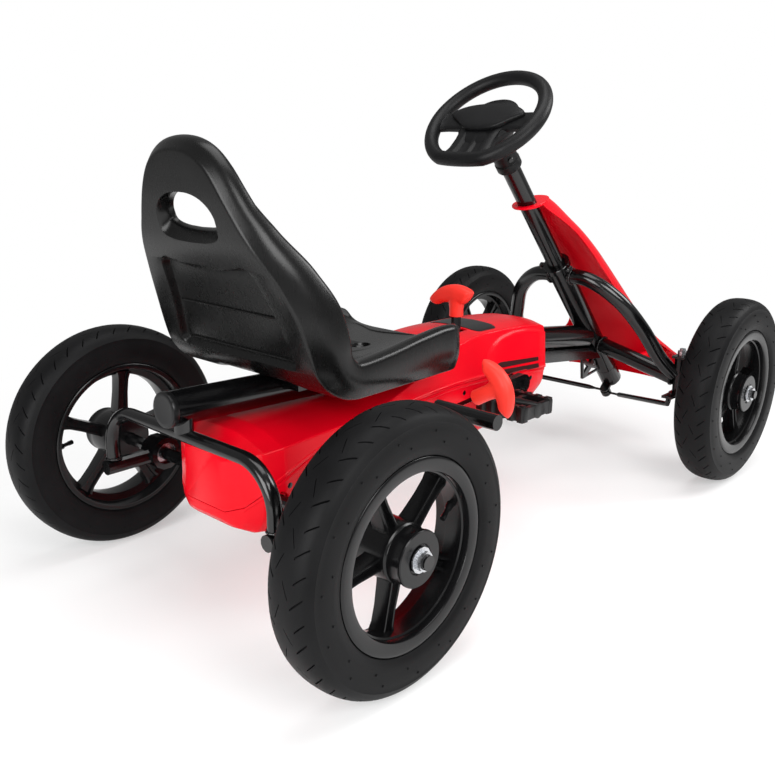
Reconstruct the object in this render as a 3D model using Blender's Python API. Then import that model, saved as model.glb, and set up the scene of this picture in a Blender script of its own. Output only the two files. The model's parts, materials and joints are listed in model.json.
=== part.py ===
# Pedal go kart, built as separate pieces on a welded tube frame.
# Metres. +X is forward, +Y is the rider's left, +Z is up. The origin is on the ground, mid kart.

import math

import bmesh
import bpy
from mathutils import Matrix, Vector

# Wheels and stance
SIDES = 32
TYRE_RADIUS = 0.1525
TYRE_WIDTH = 0.0606
WHEELBASE = 0.8156
TRACK_REAR = 0.5207
TRACK_FRONT = 0.5289
RIM_SEAT_RADIUS = 0.0975
RIM_FLANGE_HEIGHT = 0.0055
RIM_WINDOW_RADIUS = 0.084
RIM_WIDTH = 0.054
SPOKES = 5
SPOKE_WIDTH = 0.024
SPOKE_DEPTH = 0.024
HUB_DRUM_RADIUS = 0.033
HUB_FLANGE_RADIUS = 0.027
HUB_OUT = 0.0326
HUB_IN = 0.034
NUT_RADIUS = 0.0115
NUT_HEIGHT = 0.0075
NUT_TIP = 0.004
AXLE_RADIUS = 0.008
STUB_RADIUS = 0.0065

# Fits: a sliding fit, the gap between touching faces and the play of the open steering pivot
FIT = 0.0003
TOUCH = 0.0003
PIVOT_PLAY = 0.0023

# Frame tubes
BACKBONE_RADIUS = 0.020
BACKBONE_OVERHANG = 0.0852
BACKBONE_REAR_Z = 0.2612
BACKBONE_BEND = Vector((0.1300, 0.0, 0.2375))
BACKBONE_FRONT_FALL = 0.126
PLUG_THICKNESS = 0.006
BRACE_START = 0.135
BRACE_WIDTH = 0.025
BRACE_HEIGHT = 0.021
STEERING_TOP = Vector((0.0700, 0.0, 0.5760))
STEERING_LEAN = math.radians(42.47)
COLUMN_RADIUS = 0.0143
COLUMN_TOP = 0.0125
COLUMN_TAIL = 0.0495
HEAD_RADIUS = 0.0195
HEAD_TOP = 0.3090
HEAD_LENGTH = 0.2890
ARCH_RADIUS = 0.0125
BEAM_RADIUS = 0.014
BEAM_MEETS = 0.5230
BOSS_OUT = 0.70
KINGPIN_Y = 0.180
SLEEVE_RADIUS = 0.012
SLEEVE_LOW = 0.1330
SLEEVE_HEIGHT = 0.0580
KINGPIN_RADIUS = 0.005
BRACKET_PLATE = 0.004
BRACKET_REACH = 0.020
BRACKET_HALF = 0.014
KNUCKLE_ARM = 0.038
PITMAN_RADIUS = 0.028
PITMAN_PIN = 0.0033
ROD_RADIUS = 0.0045
EYE_WALL = 0.0040
EYE_THICKNESS = 0.0050

# Rear hoop and axle carriers
CARRIER_Y = 0.155
CARRIER_LENGTH = 0.028
HOUSING_RADIUS = 0.0215
BEARING_RADIUS = 0.014
BEARING_LENGTH = 0.016
STUB_RAIL_RADIUS = 0.0095
STUB_RAIL_BEHIND = 0.0792
STUB_RAIL_Z = 0.150
HOOP_BEHIND = 0.0672
HOOP_TOP = 0.228
HOOP_BEND = 0.050
HOOP_HALF_HEIGHT = 0.0075
HOOP_HALF_DEPTH = 0.009
SADDLE_HALF = 0.018

# Drive
CRANK_X = 0.060
CRANK_Z = 0.198
CRANK_ARM = 0.098
CRANK_ARM_Y = 0.082
CRANK_ARM_THICK = 0.012
SHELL_RADIUS = 0.0135
SHELL_HALF = 0.028
CHAIN_PITCH = 0.0127
CHAINRING_TEETH = 24
SPROCKET_TEETH = 14
CHAIN_Y = -0.040
SPROCKET_THICK = 0.003
SPROCKET_HUB = 0.018
TOOTH_TIP = 0.0035
TOOTH_ROOT = 0.0039
PEDAL_LENGTH = 0.074
PEDAL_WIDTH = 0.080
PEDAL_HEIGHT = 0.024
PEDAL_GAP = 0.010
SPINDLE_RADIUS = 0.006

# Covers
CASE_WALL = 0.003
CASE_LIP = 0.005
CASE_SEAM = 0.0008
CASE_TAIL = 0.0422
CASE_HALF_REAR = 0.088
CASE_HALF_FRONT = 0.063
CASE_HOLE_PLAY = 0.0035
FAIRING_WALL = 0.003
COLLAR_AT = 0.1716
COLLAR_RADIUS = 0.025
COLLAR_HEIGHT = 0.004
COLLAR_LEAN = math.radians(15.0)

# Seat
SEAT_BASE = 0.268
SEAT_FRONT = -0.132
SEAT_BACK_FOOT = -0.385
SEAT_LEAN = math.radians(17.7)
SEAT_TOP = 0.5455
SEAT_HALF = 0.148
SEAT_BEND = 0.050
SEAT_RECESS = 0.0155
SEAT_FLOOR = 0.030
SEAT_WING = 0.060
SEAT_HOLE_WIDTH = 0.096
SEAT_HOLE_HEIGHT = 0.046
SEAT_HOLE_Z = 0.470
CLAMP_FRONT = -0.228
CLAMP_LENGTH = 0.105
CLAMP_HALF = 0.034

# Steering wheel
WHEEL_RADIUS = 0.0885
WHEEL_GRIP = 0.0103
WHEEL_FLAT = 0.080
WHEEL_HUB_RADIUS = 0.0185
WHEEL_HUB_LENGTH = 0.105
PAD_THICKNESS = 0.010

# Levers
BRAKE_PIVOT = Vector((-0.135, 0.0, 0.193))
BRAKE_PIN_RADIUS = 0.006
BRAKE_HUB_Y = 0.094
BRAKE_HUB_LENGTH = 0.018
BRAKE_LEAN = math.radians(30.0)
BRAKE_BAR_AHEAD = 0.1423
BRAKE_BAR_ABOVE = 0.10373
BRAKE_BAR_START = 0.200
BRAKE_BAR_RADIUS = 0.009
BRAKE_BAR_END = 0.278
SHIFT_X = -0.025
SHIFT_Y = -0.0285
SHIFT_SWING = math.radians(12.0)
LEVER_WIDTH = 0.016
LEVER_THICK = 0.005
LEVER_LENGTH = 0.068
GRIP_ARC = 0.040
GRIP_SPREAD = math.radians(62.0)
GRIP_RADIUS = 0.010
NECK_RADIUS = 0.0105

AXLE_Z = TYRE_RADIUS * math.cos(math.pi / SIDES)
AXLE_REAR = Vector((-WHEELBASE / 2, 0.0, AXLE_Z))
AXLE_FRONT = Vector((WHEELBASE / 2, 0.0, AXLE_Z))
BACKBONE_REAR = Vector((AXLE_REAR.x - BACKBONE_OVERHANG, 0.0, BACKBONE_REAR_Z))
HOOP_X = AXLE_REAR.x - HOOP_BEHIND
CRANK = Vector((CRANK_X, 0.0, CRANK_Z))
DOWN_COLUMN = Vector((math.sin(STEERING_LEAN), 0.0, -math.cos(STEERING_LEAN)))
ACROSS_COLUMN = Vector((math.cos(STEERING_LEAN), 0.0, math.sin(STEERING_LEAN)))
RIGHT = Vector((0.0, -1.0, 0.0))
LEFT = Vector((0.0, 1.0, 0.0))
UP = Vector((0.0, 0.0, 1.0))
FORWARD = Vector((1.0, 0.0, 0.0))


def on_column(distance, out=0.0):
    """A point of the steering axis, measured down from the wheel, moved out to its front."""
    return STEERING_TOP + DOWN_COLUMN * distance + ACROSS_COLUMN * out


def backbone_height(x):
    """Height of the backbone's centre line at a place along the kart."""
    if x > BACKBONE_BEND.x:
        return BACKBONE_BEND.z - BACKBONE_FRONT_FALL * (x - BACKBONE_BEND.x)
    run = (x - BACKBONE_REAR.x) / (BACKBONE_BEND.x - BACKBONE_REAR.x)
    return BACKBONE_REAR.z + (BACKBONE_BEND.z - BACKBONE_REAR.z) * run


def column_meets(drop):
    """How far down the steering axis a line under the backbone's front meets it."""
    run = BACKBONE_BEND.z - BACKBONE_FRONT_FALL * (STEERING_TOP.x - BACKBONE_BEND.x) - drop - STEERING_TOP.z
    return run / (DOWN_COLUMN.z + BACKBONE_FRONT_FALL * DOWN_COLUMN.x)


# Places that several pieces share
HEAD_END = HEAD_TOP + HEAD_LENGTH
COLUMN_END = HEAD_END + COLUMN_TAIL
PITMAN_AT = COLUMN_END - 0.001
PITMAN_POINT = on_column(PITMAN_AT, -PITMAN_RADIUS)
ROD_Z = SLEEVE_LOW - TOUCH - BRACKET_PLATE - TOUCH
SHIFT_PIVOT = Vector((SHIFT_X, 0.0, backbone_height(SHIFT_X)))
CHAINRING_RADIUS = CHAIN_PITCH / (2 * math.sin(math.pi / CHAINRING_TEETH))
SPROCKET_RADIUS = CHAIN_PITCH / (2 * math.sin(math.pi / SPROCKET_TEETH))
BRAKE_BAR = AXLE_REAR + Vector((BRAKE_BAR_AHEAD, 0.0, BRAKE_BAR_ABOVE))
BRAKE_OUT = Vector((0.0, -math.cos(BRAKE_LEAN), math.sin(BRAKE_LEAN)))
PEDAL_Y = CRANK_ARM_Y + CRANK_ARM_THICK + PEDAL_GAP + PEDAL_WIDTH / 2


def side_name(side):
    return "left" if side > 0 else "right"


def kingpin(side):
    return Vector((AXLE_FRONT.x, side * KINGPIN_Y, SLEEVE_LOW + SLEEVE_HEIGHT / 2))


def rod_pivot(side):
    return Vector((AXLE_FRONT.x - KNUCKLE_ARM, side * KINGPIN_Y, ROD_Z))


def pedal_centre(side):
    """The right arm points back and the left one forward."""
    return Vector((CRANK_X + side * CRANK_ARM, side * PEDAL_Y, CRANK_Z))


def wheel_centre(side, front):
    axle = AXLE_FRONT if front else AXLE_REAR
    track = TRACK_FRONT if front else TRACK_REAR
    return Vector((axle.x, side * track / 2, AXLE_Z))


# One empty for each body, on the axis of its joint
BODY_ORIGINS = {
    "frame": Vector((0.0, 0.0, 0.0)),
    "rear_axle": AXLE_REAR,
    "rear_left_wheel": wheel_centre(1, False),
    "front_left_wheel": wheel_centre(1, True),
    "front_right_wheel": wheel_centre(-1, True),
    "steering": STEERING_TOP,
    "knuckle_left": kingpin(1),
    "knuckle_right": kingpin(-1),
    "tie_rod_left": rod_pivot(1),
    "tie_rod_right": rod_pivot(-1),
    "crank": CRANK,
    "pedal_left": pedal_centre(1),
    "pedal_right": pedal_centre(-1),
    "brake": BRAKE_PIVOT,
    "shift": SHIFT_PIVOT,
    "seat": Vector((CLAMP_FRONT, 0.0, backbone_height(CLAMP_FRONT))),
}

for old in list(bpy.data.objects):
    bpy.data.objects.remove(old, do_unlink=True)

empties = {}
for body_name, body_origin in BODY_ORIGINS.items():
    empty = bpy.data.objects.new("joint_" + body_name, None)
    empty.location = body_origin
    bpy.context.scene.collection.objects.link(empty)
    empties[body_name] = empty


def make_material(name, colour, roughness, metallic=0.0):
    material = bpy.data.materials.new(name)
    material.use_nodes = True
    shader = material.node_tree.nodes["Principled BSDF"]
    shader.inputs["Base Color"].default_value = (*colour, 1.0)
    shader.inputs["Roughness"].default_value = roughness
    shader.inputs["Metallic"].default_value = metallic
    return material


PAINT = make_material("black_paint", (0.012, 0.012, 0.013), 0.30)
RED = make_material("red_plastic", (0.78, 0.016, 0.022), 0.35)
BLACK = make_material("black_plastic", (0.018, 0.018, 0.019), 0.55)
RUBBER = make_material("tyre_rubber", (0.020, 0.020, 0.021), 0.80)
ZINC = make_material("zinc_steel", (0.60, 0.60, 0.61), 0.30, 1.0)


# Mesh helpers
def make_object(name, bm, material, body="frame"):
    bmesh.ops.remove_doubles(bm, verts=bm.verts, dist=0.00001)
    bmesh.ops.translate(bm, verts=bm.verts, vec=-BODY_ORIGINS[body])
    mesh = bpy.data.meshes.new(name)
    bm.to_mesh(mesh)
    bm.free()
    mesh.materials.append(material)
    mesh.shade_smooth()
    mesh.set_sharp_from_angle(angle=math.radians(35))
    obj = bpy.data.objects.new(name, mesh)
    obj.parent = empties[body]
    bpy.context.scene.collection.objects.link(obj)
    return obj


def solid(name, bm, material, body="frame"):
    """A closed shape whose faces are turned outwards."""
    bmesh.ops.recalc_face_normals(bm, faces=bm.faces)
    return make_object(name, bm, material, body)


def tool(name, bm):
    """A cutter or a part to be joined, left out of the finished kart."""
    obj = solid("tool_" + name, bm, BLACK)
    obj.hide_render = True
    obj.display_type = "WIRE"
    return obj


def combine(obj, other, operation):
    modifier = obj.modifiers.new(other.name, "BOOLEAN")
    modifier.operation = operation
    modifier.solver = "EXACT"
    modifier.object = other


def cut(obj, *cutters):
    for cutter in cutters:
        combine(obj, cutter, "DIFFERENCE")


def join(obj, *parts):
    for part in parts:
        combine(obj, part, "UNION")


def axis_frame(origin, axis, across=None):
    """Turn and move local +Z onto an axis, with local +X onto the across direction."""
    z = Vector(axis).normalized()
    if across is None:
        across = FORWARD if abs(z.x) < 0.9 else UP
    y = z.cross(Vector(across)).normalized()
    x = y.cross(z)
    turn = Matrix((x, y, z)).transposed().to_4x4()
    return Matrix.Translation(origin) @ turn


def loft(bm, rings, closed=False):
    """Skin a row of equal rings and cap both ends, or join the last ring to the first."""
    loops = [[bm.verts.new(p) for p in ring] for ring in rings]
    pairs = list(zip(loops, loops[1:]))
    if closed:
        pairs.append((loops[-1], loops[0]))
    else:
        bm.faces.new(reversed(loops[0]))
        bm.faces.new(loops[-1])
    count = len(loops[0])
    for a, b in pairs:
        for i in range(count):
            j = (i + 1) % count
            bm.faces.new((a[i], a[j], b[j], b[i]))


def lathe(bm, profile, sides, frame, ring=False, hexes=()):
    """Turn (radius, height) points about local Z: a ring, or a solid from pole to pole."""
    rows = []
    for index, (radius, height) in enumerate(profile):
        if radius < 1e-7:
            rows.append([bm.verts.new(frame @ Vector((0.0, 0.0, height)))])
            continue
        row = []
        for k in range(sides):
            angle = 2 * math.pi * (k + 0.5) / sides
            r = radius
            if index in hexes:
                r = radius * math.cos(math.pi / 6) / math.cos(angle % (math.pi / 3) - math.pi / 6)
            row.append(bm.verts.new(frame @ Vector((r * math.cos(angle), r * math.sin(angle), height))))
        rows.append(row)
    pairs = list(zip(rows, rows[1:]))
    if ring:
        pairs.append((rows[-1], rows[0]))
    for a, b in pairs:
        for k in range(sides):
            j = (k + 1) % sides
            corners = [a[k % len(a)], a[j % len(a)], b[j % len(b)], b[k % len(b)]]
            bm.faces.new(list(dict.fromkeys(corners)))


def rod(bm, start, end, radius, sides=12):
    start = Vector(start)
    length = (Vector(end) - start).length
    profile = [(0.0, 0.0), (radius, 0.0), (radius, length), (0.0, length)]
    lathe(bm, profile, sides, axis_frame(start, Vector(end) - start))


def pipe(bm, start, end, inner, outer, sides=12):
    start = Vector(start)
    length = (Vector(end) - start).length
    profile = [(inner, 0.0), (outer, 0.0), (outer, length), (inner, length)]
    lathe(bm, profile, sides, axis_frame(start, Vector(end) - start), ring=True)


def box(bm, low, high):
    bottom = [(low[0], low[1]), (high[0], low[1]), (high[0], high[1]), (low[0], high[1])]
    loft(bm, [[(x, y, z) for x, y in bottom] for z in (low[2], high[2])])


def prism(bm, outline, frame, low, high):
    """A flat outline in local X and Y, drawn out along local Z."""
    loft(bm, [[frame @ Vector((x, y, z)) for x, y in outline] for z in (low, high)])


def oval(half_a, half_b, count):
    turn = [2 * math.pi * (i + 0.5) / count for i in range(count)]
    return [(half_a * math.cos(t), half_b * math.sin(t)) for t in turn]


def sweep(bm, points, section, normal, closed=False, taper=None):
    """Carry a section along a path. Its first axis keeps to the normal, its second lies in the path."""
    points = [Vector(p) for p in points]
    rings = []
    for i, point in enumerate(points):
        before = points[i - 1] if i > 0 or closed else point
        after = points[(i + 1) % len(points)] if i + 1 < len(points) or closed else point
        along = (after - before).normalized()
        side = along.cross(normal).normalized()
        upright = side.cross(along)
        scale = taper[i] if taper else 1.0
        rings.append([point + upright * a * scale + side * b * scale for a, b in section])
    loft(bm, rings, closed)


def arc(centre, first, second, radius, start, end, count):
    """Points of an arc, from the first direction towards the second."""
    steps = [start + (end - start) * i / (count - 1) for i in range(count)]
    return [Vector(centre) + radius * (first * math.cos(t) + second * math.sin(t)) for t in steps]


def smooth(points, per_span):
    """A round curve through a few points, by Catmull and Rom's rule."""
    points = [Vector(p) for p in points]
    padded = [2 * points[0] - points[1], *points, 2 * points[-1] - points[-2]]
    out = []
    for a, b, c, d in zip(padded, padded[1:], padded[2:], padded[3:]):
        for k in range(per_span):
            t = k / per_span
            out.append(0.5 * (2 * b + (c - a) * t + (2 * a - 5 * b + 4 * c - d) * t ** 2
                              + (3 * b - a - 3 * c + d) * t ** 3))
    return out + [points[-1]]


def between(table, at):
    """Read a row of (place, value...) pairs at a place, straight between its rows."""
    for a, b in zip(table, table[1:]):
        if at <= b[0]:
            share = (at - a[0]) / (b[0] - a[0])
            return [p + (q - p) * share for p, q in zip(a[1:], b[1:])]
    return list(table[-1][1:])


# Wheels
def make_tyre(prefix, centre, outward, body):
    half = TYRE_WIDTH / 2
    bead = RIM_SEAT_RADIUS + FIT
    lip = RIM_SEAT_RADIUS + RIM_FLANGE_HEIGHT + FIT
    rim_half = RIM_WIDTH / 2
    wall = TYRE_RADIUS - lip
    right = [(bead, rim_half - 0.0054), (lip + 0.0002, rim_half - 0.0034), (lip + 0.0002, rim_half - 0.0003),
             (lip + wall * 0.42, half), (lip + wall * 0.76, half * 0.95), (lip + wall * 0.95, half * 0.66),
             (TYRE_RADIUS, half * 0.24)]
    profile = [(r, h) for r, h in right] + [(r, -h) for r, h in reversed(right)]
    bm = bmesh.new()
    lathe(bm, profile, SIDES, axis_frame(centre, outward), ring=True)
    return solid(prefix + "_tyre", bm, RUBBER, body)


def make_rim(prefix, centre, outward, bore, body):
    """Moulded wheel: barrel and stepped hub, with five grooved spokes joined between them."""
    frame = axis_frame(centre, outward)
    half = RIM_WIDTH / 2
    flange = RIM_SEAT_RADIUS + RIM_FLANGE_HEIGHT
    window = RIM_WINDOW_RADIUS
    barrel = [(flange, half), (flange, half - 0.003), (RIM_SEAT_RADIUS, half - 0.005),
              (RIM_SEAT_RADIUS, 0.005 - half), (flange, 0.003 - half), (flange, -half),
              (window + 0.005, -half), (window, -half / 2), (window, half / 2), (window + 0.005, half)]
    neck = (HUB_FLANGE_RADIUS + bore) / 2 + 0.001
    hub = [(bore, HUB_OUT), (HUB_FLANGE_RADIUS, HUB_OUT), (HUB_FLANGE_RADIUS, HUB_OUT - 0.006),
           (neck, HUB_OUT - 0.009), (neck, HUB_OUT - 0.016), (HUB_DRUM_RADIUS, HUB_OUT - 0.019),
           (HUB_DRUM_RADIUS, 0.006 - HUB_IN), (HUB_FLANGE_RADIUS, -HUB_IN), (bore, -HUB_IN)]
    bm = bmesh.new()
    lathe(bm, barrel, SIDES, frame, ring=True)
    lathe(bm, hub, 12, frame, ring=True)
    rim = solid(prefix + "_rim", bm, BLACK, body)
    w = SPOKE_WIDTH / 2
    d = SPOKE_DEPTH / 2
    section = [(-w, -d), (w, -d), (w, d), (w * 0.6, d), (w * 0.3, d - 0.007), (-w * 0.3, d - 0.007),
               (-w * 0.6, d), (-w, d)]
    inner = HUB_DRUM_RADIUS - 0.004
    outer = window + 0.006
    bm = bmesh.new()
    for k in range(SPOKES):
        turn = frame @ Matrix.Rotation(2 * math.pi * k / SPOKES, 4, "Z")
        rings = []
        for radius, spread in ((inner, 0.80), (outer, 1.15)):
            rings.append([turn @ Vector((radius, a * spread, b - 0.004)) for a, b in section])
        loft(bm, rings)
    join(rim, tool(prefix + "_spokes", bm))
    return rim


def make_nut(name, centre, outward, stem, body):
    """Flanged hex nut on the end of an axle, with its bore round the thread."""
    low = HUB_OUT + TOUCH
    flange = low + 0.0018
    top = low + NUT_HEIGHT
    bore = stem + FIT
    profile = [(bore, low), (NUT_RADIUS * 1.2, low), (NUT_RADIUS * 1.2, flange), (NUT_RADIUS, flange),
               (NUT_RADIUS, top), (bore, top)]
    bm = bmesh.new()
    lathe(bm, profile, 12, axis_frame(centre, outward), ring=True, hexes=(3, 4))
    return solid(name, bm, ZINC, body)


def make_wheels():
    for side in (1, -1):
        outward = LEFT * side
        rear = wheel_centre(side, False)
        rear_body = "rear_left_wheel" if side > 0 else "rear_axle"
        prefix = "rear_" + side_name(side)
        make_tyre(prefix, rear, outward, rear_body)
        make_rim(prefix, rear, outward, AXLE_RADIUS + FIT, rear_body)
        make_nut(prefix + "_nut", rear, outward, AXLE_RADIUS, "rear_axle")
        front = wheel_centre(side, True)
        prefix = "front_" + side_name(side)
        make_tyre(prefix, front, outward, prefix + "_wheel")
        make_rim(prefix, front, outward, STUB_RADIUS + FIT, prefix + "_wheel")
        make_nut(prefix + "_nut", front, outward, STUB_RADIUS, "knuckle_" + side_name(side))


# Frame
def column_cutter(name, radius):
    bm = bmesh.new()
    rod(bm, on_column(HEAD_TOP - 0.05), on_column(COLUMN_END), radius, 20)
    return tool(name, bm)


def backbone_rod(bm, radius, overrun=0.0):
    end_x = on_column(HEAD_TOP + HEAD_LENGTH / 2).x
    rear = BACKBONE_REAR + (BACKBONE_REAR - BACKBONE_BEND).normalized() * overrun
    points = [rear, BACKBONE_BEND, Vector((end_x, 0.0, backbone_height(end_x)))]
    sweep(bm, points, oval(radius, radius, 20), LEFT)


def make_backbone(head_cutter):
    bm = bmesh.new()
    backbone_rod(bm, BACKBONE_RADIUS)
    cut(solid("backbone_tube", bm, PAINT), head_cutter)
    bm = bmesh.new()
    edge = BACKBONE_RADIUS
    start = TOUCH
    profile = [(0.0, start), (edge, start), (edge, PLUG_THICKNESS - 0.002), (edge - 0.002, PLUG_THICKNESS),
               (0.0, PLUG_THICKNESS)]
    lathe(bm, profile, 20, axis_frame(BACKBONE_REAR, BACKBONE_REAR - BACKBONE_BEND, UP))
    solid("backbone_plug", bm, BLACK)


def brace_bar(bm, grow):
    """Flat tube under the front of the backbone, or the space for it."""
    drop = BACKBONE_RADIUS * math.hypot(1.0, BACKBONE_FRONT_FALL) + TOUCH
    end_x = on_column(column_meets(drop + BRACE_HEIGHT / 2)).x
    half = BRACE_WIDTH / 2 + grow
    rings = []
    for x in (BRACE_START - grow, end_x + grow):
        top = backbone_height(x) - drop + grow
        low = top - BRACE_HEIGHT - 2 * grow
        rings.append([(x, -half, low), (x, half, low), (x, half, top), (x, -half, top)])
    loft(bm, rings)
    return drop + BRACE_HEIGHT


def make_brace(head_cutter):
    bm = bmesh.new()
    drop = brace_bar(bm, 0.0)
    cut(solid("brace_tube", bm, PAINT), head_cutter)
    bm = bmesh.new()
    brace_bar(bm, TOUCH)
    return drop, tool("brace_space", bm)


def make_stay(brace_drop, head_cutter):
    def under(x):
        return Vector((x, backbone_height(x) - brace_drop - TOUCH))

    front = on_column(HEAD_END - 0.010)
    meet = on_column(column_meets(brace_drop)).x
    rear_top = under(meet - 0.0704)
    front_top = under(meet - 0.0284)
    front_low = Vector((front.x - 0.004, front.z - 0.010))
    rear_low = Vector((rear_top.x + 0.006, rear_top.y - 0.040))
    corners = [rear_low, front_low, front_top, rear_top]
    middle = sum(corners, Vector((0.0, 0.0))) / 4
    frame = axis_frame(Vector((0.0, 0.0, 0.0)), RIGHT, FORWARD)
    thick = 0.0025
    bm = bmesh.new()
    prism(bm, corners, frame, -thick, thick)
    stay = solid("steering_stay", bm, PAINT)
    bm = bmesh.new()
    for a, b in zip(corners, corners[1:] + corners[:1]):
        centre = (a + b + middle) / 3
        hole = [centre + (p - centre) * 0.55 for p in (a, b, middle)]
        prism(bm, hole, frame, -2 * thick, 2 * thick)
    cut(stay, tool("stay_holes", bm), head_cutter)


def make_head_tube():
    bm = bmesh.new()
    collar = HEAD_RADIUS + 0.003
    inner = COLUMN_RADIUS + FIT
    profile = [(inner, 0.0), (collar, 0.0), (collar, 0.010), (HEAD_RADIUS, 0.012), (HEAD_RADIUS, HEAD_LENGTH),
               (inner, HEAD_LENGTH)]
    lathe(bm, profile, 20, axis_frame(on_column(HEAD_TOP), DOWN_COLUMN, LEFT), ring=True)
    solid("head_tube", bm, PAINT)


def arch_points(side):
    """Half of the front arch, from the steering head out and down to the kingpin."""
    top = on_column(HEAD_TOP + 0.030)
    sleeve = kingpin(side)
    y = side * KINGPIN_Y
    return smooth([top, (top.x + 0.003, y * 0.29, top.z - 0.004), (top.x + 0.026, y * 0.54, top.z - 0.036),
                   (top.x + 0.058, y * 0.70, top.z - 0.083), (sleeve.x - 0.022, y * 0.83, sleeve.z + 0.028),
                   (sleeve.x - 0.004, y * 0.95, sleeve.z - 0.002)], 3)


def beam_ends(side):
    start = on_column(BEAM_MEETS)
    sleeve = kingpin(side)
    return start, Vector((sleeve.x, sleeve.y, AXLE_Z + 0.001))


def make_front_frame(head_cutter, brace_space):
    plane = Vector((1.0, 0.0, 0.7)).normalized()
    for side in (1, -1):
        name = side_name(side)
        sleeve = kingpin(side)
        low = Vector((sleeve.x, sleeve.y, SLEEVE_LOW))
        high = low + UP * SLEEVE_HEIGHT
        bm = bmesh.new()
        rod(bm, low - UP * 0.02, high + UP * 0.02, SLEEVE_RADIUS + TOUCH, 16)
        sleeve_cutter = tool("sleeve_space_" + name, bm)
        bm = bmesh.new()
        rod(bm, *beam_ends(side), BEAM_RADIUS + TOUCH, 14)
        beam_cutter = tool("beam_space_" + name, bm)

        bm = bmesh.new()
        pipe(bm, low, high, KINGPIN_RADIUS + FIT, SLEEVE_RADIUS)
        solid("kingpin_sleeve_" + name, bm, PAINT)

        bm = bmesh.new()
        sweep(bm, arch_points(side), oval(ARCH_RADIUS, ARCH_RADIUS, 12), plane)
        cut(solid("front_arch_" + name, bm, PAINT), head_cutter, sleeve_cutter, beam_cutter)

        bm = bmesh.new()
        rod(bm, *beam_ends(side), BEAM_RADIUS, 14)
        cut(solid("axle_beam_" + name, bm, PAINT), head_cutter, sleeve_cutter, brace_space)


def make_rear_frame():
    """Hoop under the backbone's end, standing on the two carriers that hold the axle bearings."""
    leg_low = STUB_RAIL_Z + STUB_RAIL_RADIUS + TOUCH
    bend_z = HOOP_TOP - HOOP_BEND
    bend_y = CARRIER_Y - HOOP_BEND
    path = [Vector((HOOP_X, CARRIER_Y, leg_low))]
    path += arc((HOOP_X, bend_y, bend_z), LEFT, UP, HOOP_BEND, 0.0, math.pi / 2, 6)
    path += arc((HOOP_X, -bend_y, bend_z), UP, RIGHT, HOOP_BEND, 0.0, math.pi / 2, 6)
    path += [Vector((HOOP_X, -CARRIER_Y, leg_low))]
    bm = bmesh.new()
    sweep(bm, path, oval(HOOP_HALF_DEPTH, HOOP_HALF_HEIGHT, 12), FORWARD)
    hoop = solid("rear_hoop", bm, PAINT)
    bm = bmesh.new()
    box(bm, (HOOP_X - HOOP_HALF_DEPTH, -SADDLE_HALF, HOOP_TOP),
        (HOOP_X + HOOP_HALF_DEPTH, SADDLE_HALF, backbone_height(HOOP_X)))
    join(hoop, tool("hoop_saddle", bm))
    bm = bmesh.new()
    backbone_rod(bm, BACKBONE_RADIUS + TOUCH, 0.02)
    backbone_space = tool("backbone_space", bm)
    cut(hoop, backbone_space)

    for side in (1, -1):
        name = side_name(side)
        middle = Vector((AXLE_REAR.x, side * CARRIER_Y, AXLE_Z))
        reach = LEFT * CARRIER_LENGTH / 2
        bm = bmesh.new()
        pipe(bm, middle - reach, middle + reach, BEARING_RADIUS + FIT, HOUSING_RADIUS)
        carrier = solid("axle_carrier_" + name, bm, PAINT)
        wall = (HOUSING_RADIUS + BEARING_RADIUS) / 2
        bm = bmesh.new()
        rod(bm, (middle.x - STUB_RAIL_BEHIND, middle.y, STUB_RAIL_Z), (middle.x - wall, middle.y, STUB_RAIL_Z),
            STUB_RAIL_RADIUS, 12)
        join(carrier, tool("stub_rail_" + name, bm))
        reach = LEFT * BEARING_LENGTH / 2
        bm = bmesh.new()
        pipe(bm, middle - reach, middle + reach, AXLE_RADIUS + FIT, BEARING_RADIUS)
        solid("axle_bearing_" + name, bm, ZINC)
    return backbone_space


# Drive
def sprocket_outline(teeth, radius):
    step = 2 * math.pi / teeth
    root = radius - TOOTH_ROOT
    tip = radius + TOOTH_TIP
    points = []
    for k in range(teeth):
        for offset, r in ((-0.30, root), (-0.10, tip), (0.10, tip), (0.30, root)):
            angle = (k + offset) * step
            points.append((r * math.cos(angle), r * math.sin(angle)))
    return points


def make_sprocket(name, centre, teeth, radius, bore, body):
    at = Vector((centre.x, CHAIN_Y, centre.z))
    frame = axis_frame(at, LEFT)
    half = SPROCKET_THICK / 2
    bm = bmesh.new()
    prism(bm, sprocket_outline(teeth, radius), frame, -half, half)
    sprocket = solid(name, bm, ZINC, body)
    bm = bmesh.new()
    rod(bm, at - LEFT * 0.006, at + LEFT * 0.009, SPROCKET_HUB)
    join(sprocket, tool(name + "_hub", bm))
    bm = bmesh.new()
    rod(bm, at - LEFT * 0.02, at + LEFT * 0.02, bore)
    cut(sprocket, tool(name + "_bore", bm))


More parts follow.
